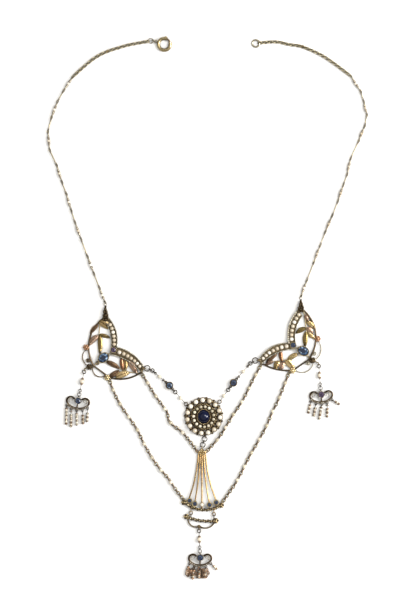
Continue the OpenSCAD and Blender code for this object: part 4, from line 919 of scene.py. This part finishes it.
def plaque_wirework(wire, curls, tones, plan, rng):
    """Leaves and stems, the two settings, the knots of grains, the curls and the cap."""
    for row in plan["leaves"]:
        leaf(tones[row[5]], row)
    for x0, y0, x1, y1 in plan["stems"]:
        stem = [between((x0, y0), (x1, y1), i / 6) for i in range(7)]
        wire.sweep(stem, *STEM, sizes=STEM_SIZES)
    setting(tones["dark"], wire, plan["notch"], NOTCH_R, 1.75)
    setting(tones["dark"], wire, plan["oval"], 1.9, 1.9, OVAL_LONG, plan["oval_turn"])
    for x, y, tone in plan["clusters"]:
        grain_cluster(tones[tone], x, y, 0.75, 0.62, rng)
    for p in plan["curls"]:
        curl = arc(p, len(CURL_SIZES) - 1)
        curls.sweep(curl, round_section(CURL_WIRE), CURL_Z, sizes=CURL_SIZES)
        curls.ball(*curl[0], CURL_Z, CURL_END)
        curls.ball(*curl[-1], CURL_Z, CURL_END)
    for place in plan["curl_rings"]:
        curls.ring(place, CURL_Z, 0.75, CURL_WIRE)
        curls.ball(*place, 0.45, CURL_END)
    cap_of(tones["black"], plan, rng)


def plaque(side, plan):
    tone_of = {"bed": "channel", "rims": "wall", "grains": "pale_gold", "wirework": "gold",
               "curls": plan["curl_tone"], "seeds": "dim_pearl"}
    parts = {part: Shape() for part in tone_of}
    tones = defaultdict(Shape)
    plaque_bands(parts, plan)
    plaque_frame(parts["rims"], parts["bed"], plan, FLIP[side])
    rng = random.Random(PLAQUE_SEEDS[side])
    plaque_wirework(parts["wirework"], parts["curls"], tones, plan, rng)
    pieces = [(part, shape, tone_of[part]) for part, shape in parts.items() if shape.verts]
    pieces += [("leaves_" + tone, shape, tone) for tone, shape in sorted(tones.items())]
    for part, shape, tone in pieces:
        shape.verts = [(*on_plaque(side, x, y), z) for x, y, z in shape.verts]
        shape.build(f"plaque_{part}_{side}", tone, SLOT_OF.get(tone, "old_gold"),
                    (f"plaque_{side}",) if part == "bed" else ())


# Cut stones

NOTCH_R = 1.1
OVAL_R = 1.85
OVAL_LONG = 4.6 / 3.8
# A cut stone's rows from table to point: facets, radius, height and shift by part of a facet
CUT_ROWS = [(8, 0.56, 0.38, 0), (8, 0.8, 0.26, 0.5), (16, 1.0, 0.05, 0), (16, 1.0, -0.02, 0),
            (8, 0.5, -0.45, 0), (8, 0.1, -0.75, 0)]


def cut(shape, x, y, z, r, long=1.0, turn=0.0):
    """A cut stone with a table, a crown of three rows of facets and a pointed foot."""
    verts = []
    for count, radius, height, shift in CUT_ROWS:
        for i in range(count):
            t = tau * (i + shift) / count
            place = placed(radius * r * long * cos(t), radius * r * sin(t), (x, y), turn)
            verts.append((*place, z + height * r))
    table, star, girdle, belt, low, tip = 0, 8, 16, 32, 48, 56
    faces = [tuple(range(8)), tuple(reversed(range(tip, tip + 8)))]
    for i in range(8):
        n = (i + 1) % 8
        a, b, c = 2 * i, 2 * i + 1, (2 * i + 2) % 16
        faces += [
            (table + n, table + i, star + i), (table + i, star + (i - 1) % 8, girdle + a, star + i),
            (star + i, girdle + a, girdle + b), (star + i, girdle + b, girdle + c),
            (belt + a, belt + b, low + i), (belt + b, belt + c, low + n),
            (belt + b, low + n, low + i), (low + i, low + n, tip + n, tip + i)]
    for k in range(16):
        n = (k + 1) % 16
        faces.append((girdle + k, girdle + n, belt + n, belt + k))
    shape.add(verts, faces)


def stone(name, rows, tone="sapphire"):
    """Replaces one CAD node of stones; a row is x, y, z, radius, length to width and turn."""
    shape = Shape()
    for row in rows:
        cut(shape, *row)
    shape.build(name + "_cut", tone, "sapphire", (name,), flat=True)


DROPS = {
    "left": dict(
        hook=(-55, -28.1), stone=(-57.9, -41.9), turn=-8, tone="dark_sapphire",
        ends=[(-5.4, -10.6), (-3.2, -11.8), (-0.6, -11), (2.2, -10.4), (4, -9.4)]),
    "right": dict(
        hook=(50.3, -25.5), stone=(51.4, -39.1), turn=4, tone="violet",
        ends=[(-5.8, -8.4), (-3.4, -9.8), (-0.9, -11.2), (2.7, -10.2), (8.2, -4.4)]),
    "centre": dict(
        hook=(-3.5, -99.6), stone=(-3, -112.4), turn=0, tone="dark_sapphire",
        ends=[(-6.3, -7.8), (-3.4, -9.7), (-0.6, -9.4), (2.2, -9.2), (7.6, -5.4)]),
}
GALLERY_STONES = [(-7.8, -86.8), (-5.4, -88.2), (1.2, -88.7), (4.2, -87.6)]


def make_stones():
    for side, plan in PLANS.items():
        notch, oval = (on_plaque(side, *plan[seat]) for seat in ("notch", "oval"))
        stone("notch_sapphire_" + side, [(*notch, 1.55, NOTCH_R)], plan["notch_tone"])
        turn = FLIP[side] * plan["oval_turn"]
        stone("oval_sapphire_" + side, [(*oval, 1.85, OVAL_R, OVAL_LONG, turn)])
    stone("connector_sapphire_left", [(-16.8, -35.0, 1.75, 1.3)])
    stone("connector_sapphire_right", [(12.0, -33.8, 1.75, 1.3)], "dark_sapphire")
    stone("fountain_sapphires", [(*place, 1.45, 0.85) for place in GALLERY_STONES], "dark_sapphire")
    for side, drop in DROPS.items():
        stone("drop_sapphire_" + side, [(*drop["stone"], 1.75, 1.2)], drop["tone"])


# Fine work on the cluster, the fountain, the bars and the scrolls

CLUSTER_AT = (-1.4, -49.0)
CLUSTER_PEARLS = 15
CLUSTER_STEP = 360 / CLUSTER_PEARLS
CLUSTER_FIRST = -2.4
# Half axes of the cabochon's oval collar, and the radius of the tier round it
STONE_COLLAR = (2.93, 3.36)
TIER_R = 5.62
# Grains beside each outer pearl: distance from the middle, turn from the pearl, height and radius
PEARL_GRAINS = [(7.9, -9.6, 1.12, 0.3), (5.95, -8.5, 1.15, 0.26), (7.9, 9.6, 1.12, 0.3),
                (5.95, 8.5, 1.15, 0.26), (5.35, 0, 2.05, 0.26)]
CLAW_TURNS = (-7, -3.5, 0, 3.5, 7)


def cluster_work():
    grains, dark = Shape(), Shape()
    x, y = CLUSTER_AT
    turns = [tau * i / 90 for i in range(91)]
    collar = [(x + STONE_COLLAR[0] * cos(t), y + STONE_COLLAR[1] * sin(t)) for t in turns]
    grains.beads(collar, 0.17, 3.02, 0.36)
    grains.beads([around(CLUSTER_AT, TIER_R, 4 * i) for i in range(91)], 0.17, 1.94, 0.38)
    for i in range(CLUSTER_PEARLS):
        turn = CLUSTER_FIRST + CLUSTER_STEP * i
        # A claw over the pearl's edge, grains round its cup and a dark one before the next pearl
        claw = [around(CLUSTER_AT, 8.42 + 0.1 * cos(radians(k * 30)), turn + k) for k in CLAW_TURNS]
        dark.sweep(claw, round_section(0.26), 0.72)
        for r, aside, z, grain in PEARL_GRAINS:
            grains.ball(*around(CLUSTER_AT, r, turn + aside), z, grain)
        dark.ball(*around(CLUSTER_AT, 8.5, turn + CLUSTER_STEP / 2), 0.78, 0.38)
    grains.build("cluster_grains", "old_gold", "old_gold")
    dark.build("cluster_scallops", "dark", "old_gold")


GALLERY = [(-10.2, -87.6), (-2.4, -90.9), (6.5, -88.9)]
BOW = [(-9.2, -94.0), (-2.6, -95.8), (4.1, -95.9)]
FOUNTAIN_TOP = (-2.2, -63.4)
BAR_SEED = 5
BAR_SECTION = bar_section(0.98, 1.34)
LUMP_STEP = 1.0
KNOT_OUT = 0.85
RIB_STEP = 0.62


def bar_work():
    """Lumpy bars: dark grains with smaller gold ones between them, and a knot at each end."""
    grains, rope, dark = Shape(), Shape(), Shape()
    rng = random.Random(BAR_SEED)
    for bar in (GALLERY, BOW):
        path = arc(bar, 40)
        dark.sweep(path[1:-1], BAR_SECTION)
        line = Line(path[1:-1])
        count = int(line.length / LUMP_STEP)
        for i in range(count + 1):
            (x, y), _ = line.at(line.length * i / count)
            way = 1 if i % 2 else -1
            dark.ball(x, y + 0.22 * way, 1.12, rng.uniform(0.5, 0.6))
            rope.ball(x + LUMP_STEP / 2, y - 0.2 * way, 1.34, rng.uniform(0.28, 0.38))
            rope.ball(x, y + 0.62 * way, 0.95, rng.uniform(0.26, 0.34))
        for end in (path[0], path[-1]):
            for k in range(6):
                place = around(end, KNOT_OUT, 60 * k + rng.uniform(-9, 9))
                (rope if k % 2 else dark).ball(*place, 0.95, rng.uniform(0.44, 0.54))
            rope.ball(*end, 1.45, 0.48)
    for place in GALLERY_STONES:
        grain_ring(grains, place, 1.11, 1.62, 0.13, 0.34)
    # Grains on the five ribs of the fountain's top plate, and one above them
    top_x, top_y = FOUNTAIN_TOP
    for i in range(-2, 3):
        x = top_x + i * RIB_STEP
        grains.ball(x, top_y - 1.0 - 0.12 * abs(i), 1.35, 0.3)
        grains.ball(x + 0.06 * i, top_y - 2.2, 1.3, 0.26)
    grains.ball(top_x, top_y - 0.35, 1.3, 0.34)
    grains.build("bar_grains", "bright_gold", "bright_gold")
    rope.build("bar_ropes", "gold", "bright_gold")
    dark.build("bar_covers", "black", "old_gold")


# The scroll's middle line and the line of grains along it, in a drop's own plan round its stone
SCROLL_ARC = [(-4.6, -1.8), (0, -3.6), (4.6, -1.8)]
SCROLL_GRAINS = [(-4.5, -1.95), (0, -3.75), (4.5, -1.95)]
LOOPS_OUT = 0.85
# A strand's first pearl, pitch and pearl radius, as the CAD has them
PEARL_UP = 1.15
PEARL_PITCH = 1.75
STRAND_PEARL_R = 0.62
STRAND_SEED = 3
STRAND_Z = 0.78
STRAND_RINGS = (0.46, 0.58)
RING_WIRE = 0.18
RING_STEP = 0.34
# How far each ring beside the upper pearl lies from its middle, and its radius
DROP_CUPS = [(0.95, 0.62), (1.22, 0.46), (1.48, 0.36)]
# The middle drop's loose links: how many, and where they lie round its stone
TANGLE = 64
TANGLE_X = (-6.2, 3.8)
TANGLE_Y = (-8.6, -4.9)


def strand_rings(tones, rng, drop, warm):
    """Rings round each strand of a drop, between its pearls."""
    x, y = drop["stone"]
    (cx, cy), _ = circle_of(SCROLL_ARC)
    turn = Matrix.Rotation(radians(drop["turn"]), 2)
    for k, (u, v) in enumerate(drop["ends"]):
        q = on_arc(SCROLL_ARC, 0.04 + 0.23 * k)
        out = Vector((q[0] - cx, q[1] - cy)).normalized() * LOOPS_OUT
        loop = turn @ (Vector(q) + out) + Vector((x, y))
        end = Vector((x + u, y + v))
        length = (loop - end).length
        heading = atan2(loop[1] - end[1], loop[0] - end[0])
        s = 0.15
        while s < length - 1.1:
            near = (s - PEARL_UP + PEARL_PITCH / 2) % PEARL_PITCH - PEARL_PITCH / 2
            if abs(near) > STRAND_PEARL_R * 0.8:
                shape = tones[rng.choice((warm, warm, "umber", "pale_gold"))]
                r = rng.uniform(*STRAND_RINGS)
                shape.hoop(end.lerp(loop, s / length), STRAND_Z, r, RING_WIRE, heading)
            s += RING_STEP


def strand_work():
    """Rings round the strands and beside the pearl above them, and loose links in the middle drop."""
    tones = {"umber": Shape(), "red": Shape(), "pale_gold": Shape()}
    rng = random.Random(STRAND_SEED)
    for side, drop in DROPS.items():
        x, y = drop["stone"]
        strand_rings(tones, rng, drop, "red" if side == "centre" else "umber")
        corners = [Vector(corner) for corner in NODES["drop_pearl_" + side].bound_box]
        pearl_at = sum(corners, Vector()) / len(corners) / MM
        line = (Vector(drop["hook"]) - Vector((x, y))).normalized()
        for way in (-1, 1):
            for step, r in DROP_CUPS:
                place = Vector(pearl_at[:2]) + way * step * line
                tones["umber"].hoop(place, DROP_Z, r, 0.16, atan2(line[1], line[0]), 16)
        if side == "centre":
            for k in range(TANGLE):
                u, v = rng.uniform(*TANGLE_X), rng.uniform(*TANGLE_Y)
                tones[rng.choice(("red", "umber", "umber"))].loop(
                    x + u, y + v, 0.62 + 0.5 * rng.random(), 0.78, 0.52, 0.17,
                    radians(rng.uniform(10, 60)), radians(rng.uniform(40, 130)), 16, 6)
    for tone, shape in tones.items():
        shape.build("strand_links_" + tone, tone, "old_gold", sharp=60)


VOLUTE_SIZES = [1.25 - 0.02 * i for i in range(27)]
VOLUTE_Z = 1.3


def volute(x=-3.05, y=0.1, r=1.3, turns=0.85, start=-110):
    """A spiral that winds inward clockwise, in a drop's own plan."""
    points = []
    for i in range(len(VOLUTE_SIZES)):
        t = i / (len(VOLUTE_SIZES) - 1)
        a = radians(start) - tau * turns * t
        size = r * (1 - 0.72 * t)
        points.append((x + size * cos(a), y + size * sin(a)))
    return points


def drop_work():
    """Volutes beside each drop's stone, grains on its setting and along its scroll."""
    curls, dark = Shape(), Shape()
    for drop in DROPS.values():

        def in_place(points):
            return [placed(u, v, drop["stone"], drop["turn"]) for u, v in points]

        for side in (-1, 1):
            path = in_place((-side * u, v) for u, v in volute())
            curls.sweep(path, round_section(0.22), VOLUTE_Z, sizes=VOLUTE_SIZES)
            curls.ball(*path[-1], VOLUTE_Z, 0.34)
        curls.beads(in_place(arc(SCROLL_GRAINS, 30)), 0.17, 1.25, 0.42)
        curls.ball(*in_place([(0, 1.95)])[0], 1.2, 0.38)
        grain_ring(curls, drop["stone"], 1.46, 1.9, 0.14)
        for rise in (-0.45, 0.45):
            edge = arc([(u, v + rise) for u, v in SCROLL_ARC], 24)
            dark.sweep(in_place(edge), round_section(0.13, 6), 1.16)
    curls.build("drop_volutes", "silver", "old_gold")
    dark.build("scroll_edges", "dark", "old_gold")


# Finishes of the CAD's own nodes, which stand here without the side in their names

FINISHES = {
    "bright_gold": "fountain",
    "clasp_gold": "clasp_ring",
    "pale_gold": "end_ring",
    "old_gold": "clasp_bolt bow_rings",
    "bronze": "cluster_frame bow_bar",
    "grey_gold": "clasp_links",
    "wall": "drop_scroll",
    "black": "cluster_rings connector drop_chain drop_strands",
    "bar_gold": "neck_chain",
    "pearl": "outer_pearls fountain_pearl drop_pearl strand_pearls neck_pearls plaque_pearls",
    "dim_pearl": "inner_pearls connector_pearls",
    "cabochon": "cabochon",
}


def finish_nodes():
    for material, names in FINISHES.items():
        full_names = [name + end for name in names.split() for end in ("", "_left", "_right", "_centre")]
        for name in set(full_names) & set(NODES):
            for slot in NODES[name].material_slots:
                slot.material = MATERIALS[material]


def make_stage():
    world = bpy.data.worlds.new("studio")
    bpy.context.scene.world = world
    world.use_nodes = True
    tree = world.node_tree
    way = add_node(tree, "TexCoord").outputs["Generated"]
    parts = add_node(tree, "SeparateXYZ", {"Vector": way})
    plug(tree.nodes["Background"], {"Color": ramp(tree, parts.outputs["Z"], SKY), "Strength": 1.0})
    for name, row in LIGHTS.items():
        area_light(name, *row)
    mesh = bpy.data.meshes.new("floor")
    corners = ((-1, -1), (1, -1), (1, 1), (-1, 1))
    mesh.from_pydata([(x * FLOOR_HALF * MM, y * FLOOR_HALF * MM, FLOOR_Z * MM) for x, y in corners],
                     [], [(0, 1, 2, 3)])
    mesh.materials.append(floor_material())
    add_object("floor", mesh)
    bpy.context.scene.view_settings.view_transform = "Standard"


make_camera()
make_stage()
finish_nodes()
make_fine_chains()
for plaque_side, plaque_plan in PLANS.items():
    plaque(plaque_side, plaque_plan)
make_stones()
cluster_work()
bar_work()
drop_work()
strand_work()
